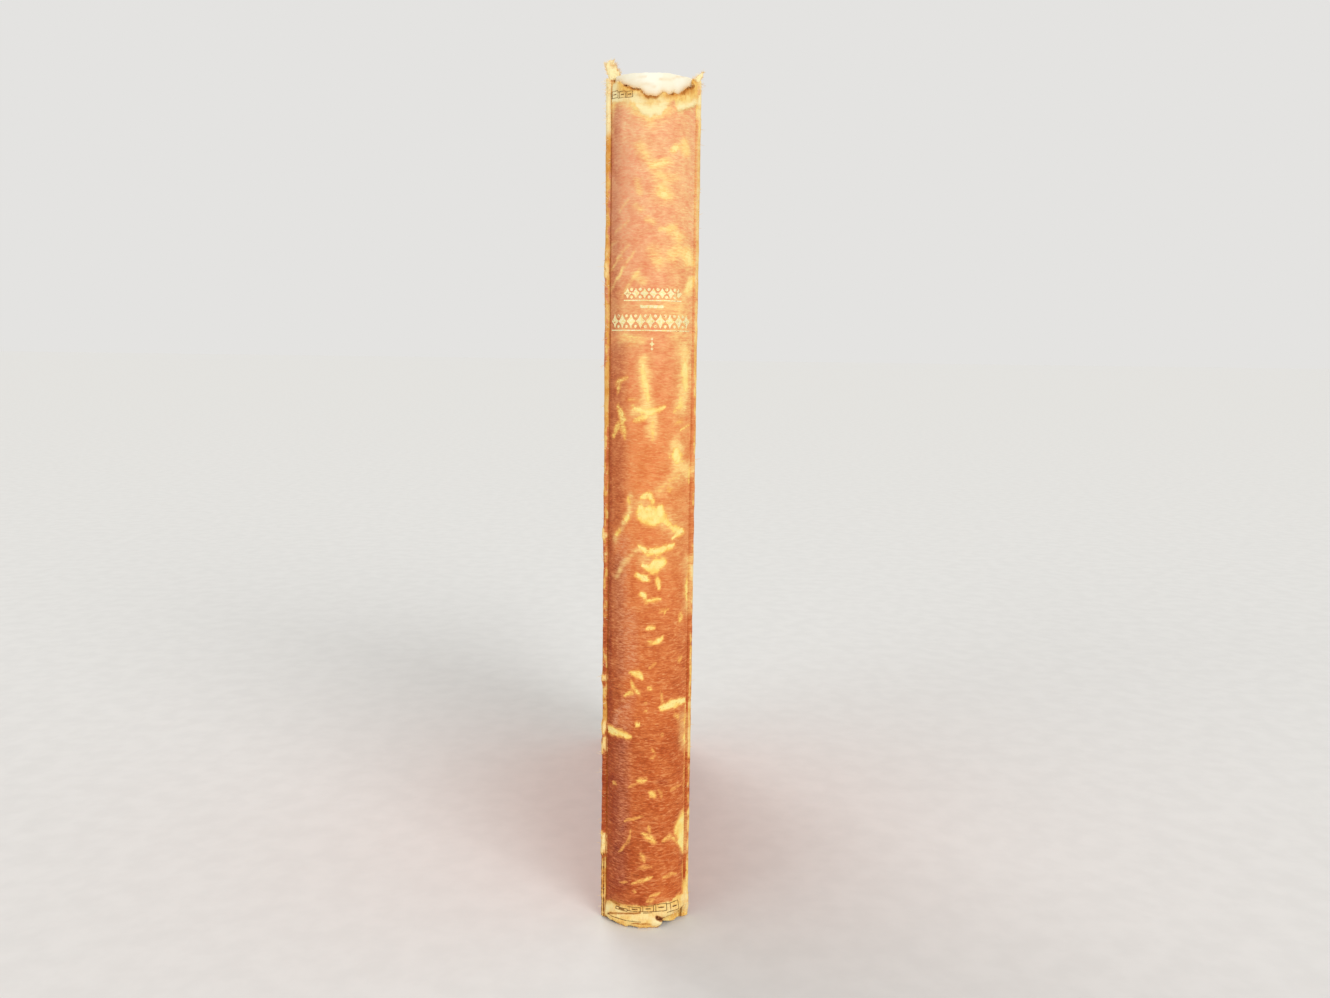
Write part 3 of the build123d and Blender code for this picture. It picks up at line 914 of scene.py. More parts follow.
LEATHER_PAINT = leather_paint("worn_leather", 1.0)
COVER_PAINT = leather_paint("cover_leather", COVER_CREASE)
CARD_PAINT = card_paint()
PAGES_PAINT = leaf_edge_paint()
FLYLEAF_PAINT = paper_paint("flyleaf_paper", (0.0, 0.0, 0.0))
PASTEDOWN_PAINT = paper_paint("pastedown_paper", PASTEDOWN_SHIFT)
THREAD_PAINT = thread_paint()
LINING_PAINT = lining_paint()
BOARD_PAINT = board_paint()
GILT_PAINT = gilt_paint()
TOOLING_PAINT = tooling_paint()
FIBRE_PAINT = fibre_paint()


# Spine

SPINE_COLUMNS = 97
SPINE_ROWS = 430
SHEET_COLUMNS = 61
CARD_ROWS = 120
TURN_IN_ROWS = 40
TURN_IN_FLARE = 0.75
# paler from here towards the head: fading, with painted light from above
FADE_AND_TOP_LIGHT_START = 40
FADE_AND_TOP_LIGHT_RUN = 160
THINNEST = 0.12
DRIFT_SIZE = 1.7
SCUFF_DRIFT = 1.6
CRACK_DRIFT = 0.8
GLOW_DRIFT = 2.0
SCUFF_SPREAD = 1.2
SCUFF_TAPER = 0.45
FLAP_LIFT = 0.28

JAG_SEED = 3
WAVE_SEED = 5
LIP_SEED = 8
DRIFT_SEED = 12
CARD_SEED = 21
TURN_IN_SEED = 31


def torn_heights(tear, angles, radius, seed, jag):
    """Height lost along a torn edge, with fine jags."""
    across = radius * np.sin(angles) / cover_outer_x
    place = np.stack([across * cover_outer_x, 0 * across, 0 * across], -1)
    return across_line(tear, across) + jag * (ripple(place, 1.1, seed) + 0.6 * ripple(place, 0.45, seed + 1))


def spine_waves(points):
    """Slow unevenness of the spine's surface."""
    return 0.10 * ripple(points, 13, WAVE_SEED) + 0.04 * ripple(points, 3.5, WAVE_SEED + 1)


def spine_fade(heights):
    """How faded the leather is, with painted light from above that brightens it, from the tail to the head.
    """
    return np.clip((heights - FADE_AND_TOP_LIGHT_START) / FADE_AND_TOP_LIGHT_RUN, 0, 1)


def head_flap(pixels):
    """Where the loose flap at the right of the head lies."""
    columns, rows = pixels[..., 0], pixels[..., 1]
    above_edge = across_line(FLAP_EDGE, columns) - rows
    flap = smooth_step(columns, *FLAP_LEFT) * smooth_step(above_edge, -FLAP_SOFT, FLAP_SOFT)
    return flap * smooth_step(rows, *FLAP_TOP)


def spine_lift(plain, below_head, above_tail):
    """How far the torn ends stand off the card: the lip at the head, the curl and swell at the tail."""
    lip = np.exp(-below_head / 0.9) * (0.22 + 0.28 * ripple(plain, 2.2, LIP_SEED))
    curl = np.exp(-above_tail / 1.8) * (0.12 + 0.25 * ripple(plain, 2.6, LIP_SEED + 1))
    swell = 0.45 * np.exp(-((above_tail - 1.8) / 2.0) ** 2) * (1 + 0.5 * ripple(plain, 2.4, LIP_SEED + 2))
    swell = swell + 0.16 * np.exp(-above_tail / 3) * ripple(plain, (1.6, 1.6, 0.7), LIP_SEED + 3)
    return np.clip(lip, 0, None) + np.clip(curl, 0, None) + swell


def spine_looks(plain, pixels, flap, crack, below_head, above_tail):
    """How torn the spine's leather is, with its painted shade, painted sheen with bloom, and painted shadow
    along its torn edges and cracks.
    """
    columns, rows = pixels[..., 0], pixels[..., 1]
    raw_head = 0.5 + (across_line(RAW_HEAD, columns) - rows) / RAW_HEAD_SOFT
    raw_head = raw_head + 0.3 * (flap - 0.3) * (flap > 0.5)
    raw_tail = 0.5 + (rows - across_line(RAW_TAIL, columns)) / RAW_TAIL_SOFT
    patchy = smooth_step(ripple(plain, (2.6, 2.6, 40), LIP_SEED + 4), -0.25, 0.35)
    # painted shadow along the torn head edge, in the cracks and along the torn tail edge
    rim = np.exp(-((below_head - 0.1) / 0.7) ** 2) * (0.2 + 0.55 * patchy)
    parted = 0.4 + 0.6 * smooth_step(columns, *TAIL_PARTING)
    rim = np.maximum(np.maximum(rim, crack), parted * np.exp(-(above_tail / 0.35) ** 2))
    # painted shade just under the torn head edge
    toning_and_shade = np.exp(-below_head / 1.0) * (0.1 + 0.6 * patchy)
    return {
        "raw": np.clip(np.maximum(raw_head, raw_tail), 0, 1),
        # painted shade, mostly beside the left joint and under the torn head
        "shade": np.maximum(stroke_field(pixels, SHADES), toning_and_shade),
        # painted sheen with whitish bloom
        "sheen_and_bloom": stroke_field(pixels, SHEEN_AND_BLOOM_STROKES),
        "rim": rim,
    }


def spine_skin():
    """Leather of the spine with torn ends, lifted lips and scuffs. Returns the radius of its surface."""
    angles = np.linspace(-spine_sweep, spine_sweep, SPINE_COLUMNS)
    head = head_z - np.maximum(torn_heights(HEAD_TEAR, angles, spine_radius, JAG_SEED, 0.35), 0.1)
    tail = np.maximum(torn_heights(TAIL_TEAR, angles, spine_radius, JAG_SEED + 4, 0.3), 0.0)
    heights = tail + graded(SPINE_ROWS)[:, None] * (head - tail)
    plain = on_arc(spine_radius, angles[None, :], heights)
    pixels = photo_pixels(plain)
    below_head = head - heights
    above_tail = heights - tail
    drift = np.stack([ripple(plain, DRIFT_SIZE, seed) for seed in (DRIFT_SEED, DRIFT_SEED + 2)], -1)
    scuff = stroke_field(pixels + SCUFF_DRIFT * drift, SCUFFS, SCUFF_SPREAD, SCUFF_TAPER)
    crack = stroke_field(pixels + CRACK_DRIFT * drift, CRACKS)
    ridge = stroke_field(pixels + CRACK_DRIFT * drift, RIDGES)
    flap = head_flap(pixels)

    edge = np.minimum(below_head, above_tail)
    thickness = LEATHER * (1 - 0.5 * np.exp(-edge / 0.5)) - 0.05 * scuff + 0.22 * ridge - 0.35 * crack
    lift = spine_lift(plain, below_head, above_tail) + FLAP_LIFT * flap
    inner_radius = spine_radius - LEATHER + lift
    outer_radius = inner_radius + np.maximum(thickness, THINNEST) + spine_waves(plain)
    outer = on_arc(outer_radius, angles[None, :], heights)
    inner = on_arc(inner_radius, angles[None, :], heights)

    looks = spine_looks(plain, pixels, flap, crack, below_head, above_tail)
    glow = soft_field(pixels + GLOW_DRIFT * drift, GLOWS)
    # fading with painted light from above, growing towards the head
    looks.update(scuff=scuff, fade=spine_fade(heights), glow=glow)
    inside = leather_fields(heights.size, raw=1.0)
    fields = {key: np.concatenate([looks[key].ravel(), inside[key]]) for key in LEATHER_FIELDS}
    points, faces = closed_sheet(outer, inner)
    add_piece("spine_skin", points, faces, LEATHER_PAINT, "pages_and_spine",
              ["spine_leather"], fields)

    def surface_radius(angle, height):
        column = int(round(np.interp(angle, angles, np.arange(SPINE_COLUMNS))))
        return np.interp(height, heights[:, column], outer_radius[:, column])

    return surface_radius


def leather_fields(count, **values):
    """Fields of a leather mesh, with zero for what isn't given."""
    return {name: np.broadcast_to(values.get(name, 0.0), (count,)) for name in LEATHER_FIELDS}


def torn_sheet(radius, thickness, sweep, tail, head, rows, flare=0.0):
    """Points and faces of a curved sheet between its tail and head. The right of its tail may flare out."""
    angles = np.linspace(-sweep, sweep, SHEET_COLUMNS)
    heights = tail(angles) + graded(rows)[:, None] * (head(angles) - tail(angles))
    plain = on_arc(radius, angles[None, :], heights)
    uneven = 0.05 * ripple(plain, 4, WAVE_SEED + 2)
    uneven = uneven + flare * smooth_step(-heights, -2.5, -1.2) * smooth_step(angles, 0.25, 0.45)
    outer = on_arc(radius + uneven, angles[None, :], heights)
    inner = on_arc(radius - thickness + 0.8 * uneven, angles[None, :], heights)
    return closed_sheet(outer, inner)


def card_inlay():
    """Card strip that stiffens the spine; its head shows above the torn leather."""
    def head(angles):
        return head_z - np.maximum(torn_heights(HEAD_CARD_EDGE, angles, card_radius, CARD_SEED, 0.12), 0)

    def tail(angles):
        return card_low[2] + 0 * angles

    points, faces = torn_sheet(card_radius, CARD, card_sweep, tail, head, CARD_ROWS)
    lost = across_line(HEAD_TEAR, points[:, 0] / cover_outer_x)
    # stain and painted shade towards the torn leather, and along the folds
    stain_and_shade = np.exp(-np.clip(points[:, 2] - (head_z - lost), 0, None) / 0.8)
    stain_and_shade = np.maximum(stain_and_shade, stroke_field(photo_pixels(points), CARD_FOLDS))
    add_piece("spine_card", points, faces, CARD_PAINT, "pages_and_spine",
              ["spine_inlay"], {"stain_and_shade": stain_and_shade})


def turn_ins():
    """What is left of the spine leather's turned-in ends behind the card."""
    head_root_z = node_box("head_turn_in")[0][2]
    tail_root_z = node_box("tail_turn_in")[1][2]

    def lost(tear, angles, seed):
        return np.maximum(torn_heights(tear, angles, turn_in_radius, seed, 0.3), 0.1)

    def head(angles):
        return head_z - lost(HEAD_TURN_IN_TEAR, angles, TURN_IN_SEED)

    def head_root(angles):
        return head_root_z + 0 * angles

    def tail(angles):
        return lost(TAIL_TURN_IN_TEAR, angles, TURN_IN_SEED + 4)

    def tail_root(angles):
        return tail_root_z + 0 * angles

    for name, low, high in (("head_turn_in", head_root, head), ("tail_turn_in", tail, tail_root)):
        points, faces = torn_sheet(turn_in_radius, TURN_IN, turn_in_sweep, low, high, TURN_IN_ROWS,
                                   TURN_IN_FLARE)
        # a faint painted shadow over the turn-ins, which lie behind the torn leather
        fields = leather_fields(len(points), raw=1.0, rim=0.15)
        add_piece(f"{name}_skin", points, faces, LEATHER_PAINT, "pages_and_spine",
                  [name], fields)


# Joints

JOINT_ROUND = 1.5
JOINT_ROWS = 420
JOINT_COLUMNS = 22
VALLEY_X = 10.42
SPINE_TUCK = np.array([-0.22, 0.14])
CREASE_END = 0.2
RIDGE_END = 0.85
HUMP_RUN = 0.55
STRIP_TOP = 0.12
STRIP_REST = 0.02
LANDING_START = 1.4
LANDING_LENGTH = 2.2
LUMP_HEIGHT = 0.3
STITCH_LINES = (0.38, 0.52)
COVER_SHADE_SEED = 44
COVER_FADE_SEED = 45


def cover_fade(points):
    """How faded the covers are, in slow clouds."""
    return 0.20 + 0.2 * ripple(points, 60, COVER_FADE_SEED)


def cover_shade(points, edge):
    """How dark the covers are: darker towards their edges, in slow clouds elsewhere."""
    clouds = np.clip(ripple(points, 34, COVER_SHADE_SEED), 0, 1)
    return 0.12 + 0.4 * np.exp(-edge / 7) + 0.35 * clouds


def joint_section(part, crease_depth, swell):
    """Outer and inner (x, y) lines at a share of the strip's width: crease, ridge, then flat on the cover."""
    if part < CREASE_END:
        spine_end = np.array([spine_radius * sin(spine_sweep), axis_y - spine_radius * cos(spine_sweep)])
        start = spine_end + SPINE_TUCK
        valley = np.array([VALLEY_X, spine_end[1] + crease_depth])
        top = start + (valley - start) * part / CREASE_END
        bottom = top + np.array([0.0, 0.1])
    elif part < RIDGE_END:
        turn = radians(-82 + 80 * (part - CREASE_END) / (RIDGE_END - CREASE_END))
        centre = np.array([cover_outer_x - JOINT_ROUND, joint_y + JOINT_ROUND])
        direction = np.array([cos(turn), sin(turn)])
        hump = sin(pi * min(1, (part - CREASE_END) / HUMP_RUN))
        top = centre + direction * (JOINT_ROUND + STRIP_TOP + swell * hump)[:, None]
        bottom = centre + direction * (JOINT_ROUND + STRIP_REST)
    else:
        run = (part - RIDGE_END) / (1 - RIDGE_END)
        landing_y = joint_y + LANDING_START + LANDING_LENGTH * run
        top = np.array([cover_outer_x + STRIP_TOP - 0.09 * run, landing_y])
        bottom = np.array([cover_outer_x + STRIP_REST, landing_y])
    return top, bottom


def joint_looks(side, outer, pixels, share, lumps, raw):
    """How torn and faded a strip is, with painted light from above, painted shade (more on the back joint,
    which turns from the light), painted shade along its crease and dark stitches.
    """
    seed = side.joint_seed
    rows = pixels[..., 1]
    feather = 1 - smooth_step(share + 0.10 * ripple(outer, (1, 1, 5), seed + 5), 0.55, 0.8)
    bare = smooth_step(share, *side.bare)
    glow = np.maximum(soft_field(pixels, GLOWS), 0.4 * lumps)
    shadow_and_stitches = np.zeros_like(raw)
    if side is FRONT:
        glow = np.maximum(glow, 0.4 * (1 - smooth_step(rows, *PALE_HEAD_ROWS)))
        bare = np.maximum(bare, smooth_step(rows, *BARE_TAIL_ROWS) + 1 - smooth_step(rows, *BARE_HEAD_ROWS))
    else:
        stitched = sum(np.exp(-((share - line) / 0.04) ** 2) for line in STITCH_LINES)
        stitched = stitched * smooth_step(rows, *STITCHED_ROWS) * (0.9 + ripple(outer, (3, 3, 0.5), seed + 6))
        # painted shade along the crease, with the dark stitches
        shadow_and_stitches = np.maximum(0.5 * np.exp(-((share - CREASE_END) / 0.07) ** 2), stitched)
    raw = raw * bare * feather
    middle = smooth_step(rows, *TONED_HEAD_ROWS) * (1 - smooth_step(rows, *TONED_TAIL_ROWS))
    toning_and_shade = side.toning_and_shade * middle * raw * (1 - lumps)
    # painted shade on the strip's sound leather, more on the back side
    shade = np.maximum(side.shade * (1 - raw), toning_and_shade)
    folded = outer * np.array([side.sign, 1, 1])
    shade = shade * feather + cover_shade(folded, outer[..., 1] - joint_y + 0.6) * (1 - feather)
    # fading with painted light from above as on the spine, giving way to the cover's own fading
    fade = spine_fade(outer[..., 2]) * feather + cover_fade(folded) * (1 - feather)
    return {"raw": raw, "rim": shadow_and_stitches, "shade": shade, "fade": fade, "glow": glow * feather}


def joint_strip(side):
    """Leather that curves between the spine and a cover: a crease beside the spine, then a worn ridge."""
    seed = side.joint_seed
    heights = np.linspace(0.4, head_z - 0.5, JOINT_ROWS)
    share = np.linspace(0, 1, JOINT_COLUMNS)
    place = np.stack([0 * heights, 0 * heights, heights], -1)
    swell = side.bulge * (1 + 0.35 * ripple(place, 9, seed) + 0.3 * ripple(place, 2.4, seed + 1))
    grids = np.zeros((2, JOINT_ROWS, JOINT_COLUMNS, 3))
    grids[..., 2] = heights[:, None]
    for column, part in enumerate(share):
        for grid, line in zip(grids, joint_section(part, side.crease, swell)):
            grid[:, column, :2] = line * np.array([side.sign, 1.0])
    outer, inner = grids
    outer[..., 1] -= 0.07 * ripple(outer, (0.5, 0.5, 2.5), seed + 2) * (share > CREASE_END)

    pixels = photo_pixels(outer)
    brown = ripple(outer, (1.2, 1.2, 14), seed + 3) + 0.5 * ripple(outer, (0.8, 0.8, 3), seed + 4)
    pieces = ripple(outer, (0.7, 0.7, 1.8), seed + 7) + 0.5 * ripple(outer, (0.5, 0.5, 0.7), seed + 8)
    lumps = np.clip(stroke_field(pixels, side.lumps) * (1 + 1.2 * pieces), 0, 1)
    raw = np.maximum(across_line(side.tan, pixels[..., 1]) + 0.5 * brown, lumps)
    raw = np.clip(raw + 0.35 * pieces * (raw < 0.9), 0, 1)
    outer += LUMP_HEIGHT * lumps[..., None] * np.array([side.sign, -1.0, 0.0])
    fields = leather_fields(2 * raw.size)
    for key, grid in joint_looks(side, outer, pixels, share, lumps, raw).items():
        fields[key] = np.tile(grid.ravel(), 2)
    points, faces = closed_sheet(outer, inner)
    strip = add_piece(f"{side.name}_joint_leather", points, faces, LEATHER_PAINT, None,
                      fields=fields)
    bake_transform(strip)
    return outer


# Covers

EDGE_ROUND = 0.9
INNER_ROUND = 0.5
CORNER_ROUND = 2.5
TURN_IN_WIDTH = 13.0
SKIN_THICKNESS = 0.36
WELD = 1e-6
FINE_TICK = 0.3
COARSE_TICK = 2.6
TICK_MARGIN = 3.2
DEPTH_TICKS = 13
COVER_SCRATCHES = 26
PATCH_SEED = 41


def ticks(length):
    """Stations along a side, closer together near both ends."""
    ends = np.arange(0, TICK_MARGIN, FINE_TICK)
    steps = int((length - 2 * TICK_MARGIN) / COARSE_TICK) + 1
    return np.concatenate([ends, np.linspace(TICK_MARGIN, length - TICK_MARGIN, steps), length - ends[::-1]])


def round_corner(first, second, radius):
    """Turns the square corner at the origin of two distances into a round one."""
    inside = (first < radius) & (second < radius)
    a, b = radius - first, radius - second
    shrink = np.maximum(a, b) / np.maximum(np.hypot(a, b), 1e-9)
    shrink = np.where(inside, shrink, 1)
    return np.where(inside, radius - a * shrink, first), np.where(inside, radius - b * shrink, second)


def round_edge(first, first_end, second, second_end, radius):
    """Rounds one edge of a box. An end is the length of its side, or None for an edge that lies at 0."""
    a = first if first_end is None else first_end - first
    b = second if second_end is None else second_end - second
    a, b = round_corner(a, b, radius)
    return (a if first_end is None else first_end - a), (b if second_end is None else second_end - b)


def cover_box():
    """Points and faces of the front cover's box, open on its inner face inside the turn-ins."""
    out = np.linspace(0, cover_depth, DEPTH_TICKS)
    along = ticks(cover_width)
    up = ticks(head_z)
    points, faces = [], []

    def side(x, y, z):
        rows, columns = np.broadcast(x, y, z).shape
        grid = np.stack(np.broadcast_arrays(x, y, z), -1).reshape(-1, 3).astype(float)
        index = np.arange(rows * columns).reshape(rows, columns) + sum(len(p) for p in points)
        points.append(grid)
        faces.extend(quads(index))

    for level in (0.0, cover_depth):
        side(level, along[None, :], up[:, None])
    for level in (0.0, cover_width):
        side(out[None, :], level, up[:, None])
    for level in (0.0, head_z):
        side(out[None, :], along[:, None], level)
    flat = np.concatenate(points)
    x, y, z = np.array([flat[face].mean(0) for face in faces]).T
    window = (x <= 0) & (y > LEATHER) & (y < cover_width - TURN_IN_WIDTH)
    window &= (z > TURN_IN_WIDTH) & (z < head_z - TURN_IN_WIDTH)
    return flat, [face for face, hole in zip(faces, window) if not hole]


def rounded_cover(flat):
    """The box's points with its edges and fore-edge corners rounded."""
    x, y, z = flat.T.copy()
    for end_x, end_y, radius in ((cover_depth, None, JOINT_ROUND), (cover_depth, cover_width, EDGE_ROUND),
                                 (None, None, INNER_ROUND), (None, cover_width, INNER_ROUND)):
        x, y = round_edge(x, end_x, y, end_y, radius)
    for end_z in (None, head_z):
        for end_x, radius in ((cover_depth, EDGE_ROUND), (None, INNER_ROUND)):
            x, z = round_edge(x, end_x, z, end_z, radius)
        y, z = round_edge(y, cover_width, z, end_z, CORNER_ROUND)
    return np.stack([x, y, z], -1)


def cover_wear(points, random):
    """Fields of a cover's leather: worn edges and corners, and fine scratches over the outer face."""
    x, y, z = points.T
    to_fore, to_joint = cover_width - y, y
    to_end = np.minimum(z, head_z - z)
    edge = np.minimum(np.minimum(to_fore, to_end), to_joint + 0.6)
    corner = np.hypot(to_fore, to_end)
    patchy = ripple(points, 11, PATCH_SEED) + 0.6 * ripple(points, 3, PATCH_SEED + 1)
    raw = np.exp(-(edge / 0.7) ** 2) * (0.22 + 0.35 * patchy)
    raw = np.maximum(raw, np.exp(-(corner / 3.2) ** 2) * (0.6 + 0.4 * patchy))
    raw = np.where(x < 0.4 * cover_depth, 0.35 * raw, raw)
    ends = np.maximum(smooth_step(z, head_z - 7, head_z - 3), smooth_step(-z, -5, -2))
    raw = np.maximum(raw, ends * (1 - smooth_step(to_joint, 1.2, 2.4)))
    strokes = []
    for _ in range(COVER_SCRATCHES):
        start = random.uniform((4, 4), (cover_width - 3, head_z - 4))
        turn = random.uniform(0, pi)
        length = random.uniform(2, 16) * random.uniform(0.3, 1)
        bend = random.uniform(-0.4, 0.4)
        middle = start + 0.5 * length * np.array([cos(turn), sin(turn)])
        end = middle + 0.5 * length * np.array([cos(turn + bend), sin(turn + bend)])
        strokes.append((random.uniform(0.5, 1.2), random.uniform(0.2, 0.45), [start, middle, end]))
    scuff = stroke_field(np.stack([y, z], -1), strokes) * (x > 0.8 * cover_depth)
    placed = points + cover_corner
    return leather_fields(len(points), raw=np.clip(raw, 0, 1), scuff=scuff, shade=cover_shade(placed, edge),
                          fade=cover_fade(placed))


def cover_skin(side):
    """Leather round a board: outer face, rounded edges and turned-in margins."""
    seed = side.cover_seed
    flat, faces = cover_box()
    points = rounded_cover(flat)
    fields = cover_wear(points, np.random.default_rng(seed))
    uneven = 0.06 * ripple(points, 24, seed) + 0.02 * ripple(points, 5, seed + 1)
    points[:, 0] += uneven * smooth_step(points[:, 0], 0.5 * cover_depth, cover_depth)
    points = (points + cover_corner) * np.array([side.sign, 1, 1])
    piece = add_piece(f"{side.name}_cover_skin", points, faces, COVER_PAINT, side.cover,
                      [f"{side.name}_cover_leather"], fields)
    turn_outward(piece.data, WELD)
    skin = piece.modifiers.new("thickness", "SOLIDIFY")
    skin.thickness = SKIN_THICKNESS * MM
    skin.offset = -1


# Pages, bands and plain nodes

LEAVES = 152
SIGNATURE = 8
PAGE_SEED = 11
SIGNATURE_SHIFT = 0.22
LEAF_SHIFT = 0.07
LEAF_GAP = 0.02
SIGNATURE_GAP = 0.05
BACK_INSET = 0.12
FORE_INSET = 0.15
END_INSET = 0.1
LEAF_FACES = ((0, 1, 3, 2), (4, 6, 7, 5), (0, 2, 6, 4), (1, 5, 7, 3), (2, 3, 7, 6), (0, 4, 5, 1))

BAND_SWEEP = 0.97
BAND_BEAD = 0.78
BAND_RISE = 0.62
WRAP_PITCH = 0.5
WRAP_STEPS = 6
COLOUR_TURN = 4
BEAD_SIDES = 12
TONGUE_LENGTH = 8.0
TONGUE_REACH = 0.3
TONGUE_THICKNESS = 0.25

HINGE_LEG = 0.7
HINGE_ROWS = 60
HINGE_CLEARANCE = 0.03
HALF_PAPER = 0.012


def page_leaves():
    """Text block as separate leaves, gathered in signatures, each cut a little unevenly."""
    random = np.random.default_rng(PAGE_SEED)
    half = pages_high[0]
    pitch = 2 * half / LEAVES
    back_radius = axis_y - pages_low[1]
    fore = node_points("text_block")[:, 1]
    hollow = fore.max() - fore[fore > 0].min()
    fore_radius = (half**2 + hollow**2) / (2 * hollow)
    points, faces, tones = [], [], []
    signature_shift = random.uniform(-SIGNATURE_SHIFT, SIGNATURE_SHIFT, (LEAVES // SIGNATURE + 1, 3))
    for leaf in range(LEAVES):
        shift = signature_shift[leaf // SIGNATURE] + random.uniform(-LEAF_SHIFT, LEAF_SHIFT, 3)
        gap = LEAF_GAP if leaf % SIGNATURE else SIGNATURE_GAP
        low_x = -half + leaf * pitch + gap / 2
        high_x = -half + (leaf + 1) * pitch - gap / 2
        middle = (low_x + high_x) / 2
        back_y = axis_y - sqrt(back_radius**2 - middle**2) + BACK_INSET
        fore_y = pages_high[1] - hollow + fore_radius - sqrt(fore_radius**2 - middle**2)
        fore_y = fore_y - FORE_INSET + shift[0] * 0.6
        bottom = pages_low[2] + END_INSET + abs(shift[1]) * 0.5
        top = pages_high[2] - END_INSET - abs(shift[2]) * 0.5
        faces.extend([[len(points) + corner for corner in face] for face in LEAF_FACES])
        for y in (back_y, fore_y):
            for z in (bottom, top):
                points.extend([(low_x, y, z), (high_x, y, z)])
        tones.extend([random.uniform(0, 1) * (0.4 if leaf % SIGNATURE == 0 else 1)] * 8)
    add_piece("page_leaves", points, faces, PAGES_PAINT, "pages_and_spine", ["text_block"],
              {"leaf": tones}, sharp=20)


def endband(name, base_z, up):
    """Rolled band on one end of the back: thread wound round a core, over a tongue glued to the back."""
    sweep = lining_sweep * BAND_SWEEP
    bead_radius = lining_radius - BAND_BEAD - 0.05
    wraps = int(2 * sweep * bead_radius / WRAP_PITCH)
    stations = np.linspace(-sweep, sweep, wraps * WRAP_STEPS + 1)
    phase = np.arange(len(stations)) / WRAP_STEPS
    swell = 1 - 0.16 * np.cos(phase * 2 * pi) ** 2 - 0.5 * (np.abs(stations) > sweep * 0.995)
    ring = np.linspace(0, 2 * pi, BEAD_SIDES + 1)[:-1]
    points, turns = [], []
    for angle, size, place in zip(stations, swell, phase):
        radius = bead_radius + BAND_BEAD * size * np.cos(ring)
        height = base_z + up * (BAND_RISE + BAND_BEAD * 0.92 * size * np.sin(ring))
        points.extend(on_arc(radius, angle, height))
        turns.extend([float(int(place) % COLOUR_TURN == 0)] * len(ring))
    index = np.arange(len(points)).reshape(len(stations), len(ring))
    faces = quads(np.concatenate([index, index[:, :1]], 1))
    faces += [index[0].tolist(), index[-1, ::-1].tolist()]
    angles = np.linspace(-sweep, sweep, 41)
    levels = base_z + up * np.linspace(-TONGUE_LENGTH, TONGUE_REACH, 12)
    outer = on_arc(lining_radius, angles[None, :], levels[:, None])
    inner = on_arc(lining_radius - TONGUE_THICKNESS, angles[None, :], levels[:, None])
    sheet, sheet_faces = closed_sheet(outer, inner)
    faces += [[corner + len(points) for corner in face] for face in sheet_faces]
    fields = {"turn": turns + [0.15] * len(sheet)}
    add_piece(f"{name}_thread", points + list(sheet), faces, THREAD_PAINT, "pages_and_spine",
              [name], fields)


def paper_hinge(side):
    """Fold of the endpaper that bridges the inner joint: one leg on the flyleaf, one on the pastedown."""
    leaf_low, leaf_high = node_box(f"{side.name}_flyleaf")
    paste_low, paste_high = node_box(f"{side.name}_pastedown")
    near = max(abs(leaf_low[0]), abs(leaf_high[0])) + HINGE_CLEARANCE
    far = min(abs(paste_low[0]), abs(paste_high[0])) - HINGE_CLEARANCE
    fold_y = max(leaf_low[1], paste_low[1])
    middle, reach = (near + far) / 2, (far - near) / 2
    line = [(near, fold_y + HINGE_LEG), (near, fold_y + 0.3)]
    turns = np.linspace(0, pi, 17)
    line += [(middle - reach * cos(turn), fold_y + 0.12 - reach * sin(turn)) for turn in turns]
    line += [(far, fold_y + 0.3), (far, fold_y + HINGE_LEG)]
    x, y = np.array(line).T
    run = np.gradient(np.array(line), axis=0)
    normal = np.stack([run[:, 1], -run[:, 0]], -1) / np.linalg.norm(run, axis=1)[:, None]
    heights = np.linspace(max(leaf_low[2], paste_low[2]), min(leaf_high[2], paste_high[2]), HINGE_ROWS)
    grids = []
    for offset in (HALF_PAPER, -HALF_PAPER):
        grid = np.zeros((HINGE_ROWS, len(line), 3))
        grid[..., 0] = side.sign * (x + offset * normal[:, 0])
        grid[..., 1] = y + offset * normal[:, 1]
        grid[..., 2] = heights[:, None]
        grids.append(grid)
    points, faces = closed_sheet(*grids)
    fold = add_piece(f"{side.name}_paper_hinge", points, faces, FLYLEAF_PAINT, None)
    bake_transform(fold)


def paint_node(node, material):
    """Gives a solid that stays as it is its material."""
    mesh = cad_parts[node].data
    mesh.materials.clear()
    mesh.materials.append(material)


# Tooling and gilding

GILT_FOIL = 0.03
ROLL_FOIL = 0.05
DOT = 0.4
GILT_RULE = 0.3
TAIL_RULE = 0.16
TAIL_LINE = 0.15
HEAD_LINE = 0.1
LOZENGE = [(0.5, 0), (0.2, 0.2), (0, 0.5), (-0.2, 0.2), (-0.5, 0), (-0.2, -0.2), (0, -0.5), (0.2, -0.2)]


def foil(name, shapes, surface, material, thick):
    """Thin closed shapes laid on the spine's surface. A shape is its outline of (angle, height) points."""
    points, faces = [], []
    for outline in shapes:
        angles, heights = np.array(outline, float).T
        rest = np.array([surface(angle, height) for angle, height in outline])
        count, base = len(outline), len(points)
        points.extend(on_arc(rest + thick, angles, heights))
        points.extend(on_arc(rest - 4 * thick, angles, heights))
        faces.append(list(range(base, base + count)))
        faces.append(list(range(base + 2 * count - 1, base + count - 1, -1)))
        for i in range(count):
            j = (i + 1) % count
            faces.append([base + i, base + count + i, base + count + j, base + j])
    add_piece(name, points, faces, material, "pages_and_spine", sharp=30)


def lozenge(angle, height, wide, tall):
    """Diamond with slightly hollow sides, as its (angle, height) outline."""
    return [(angle + a * wide / spine_radius, height + b * tall) for a, b in LOZENGE]


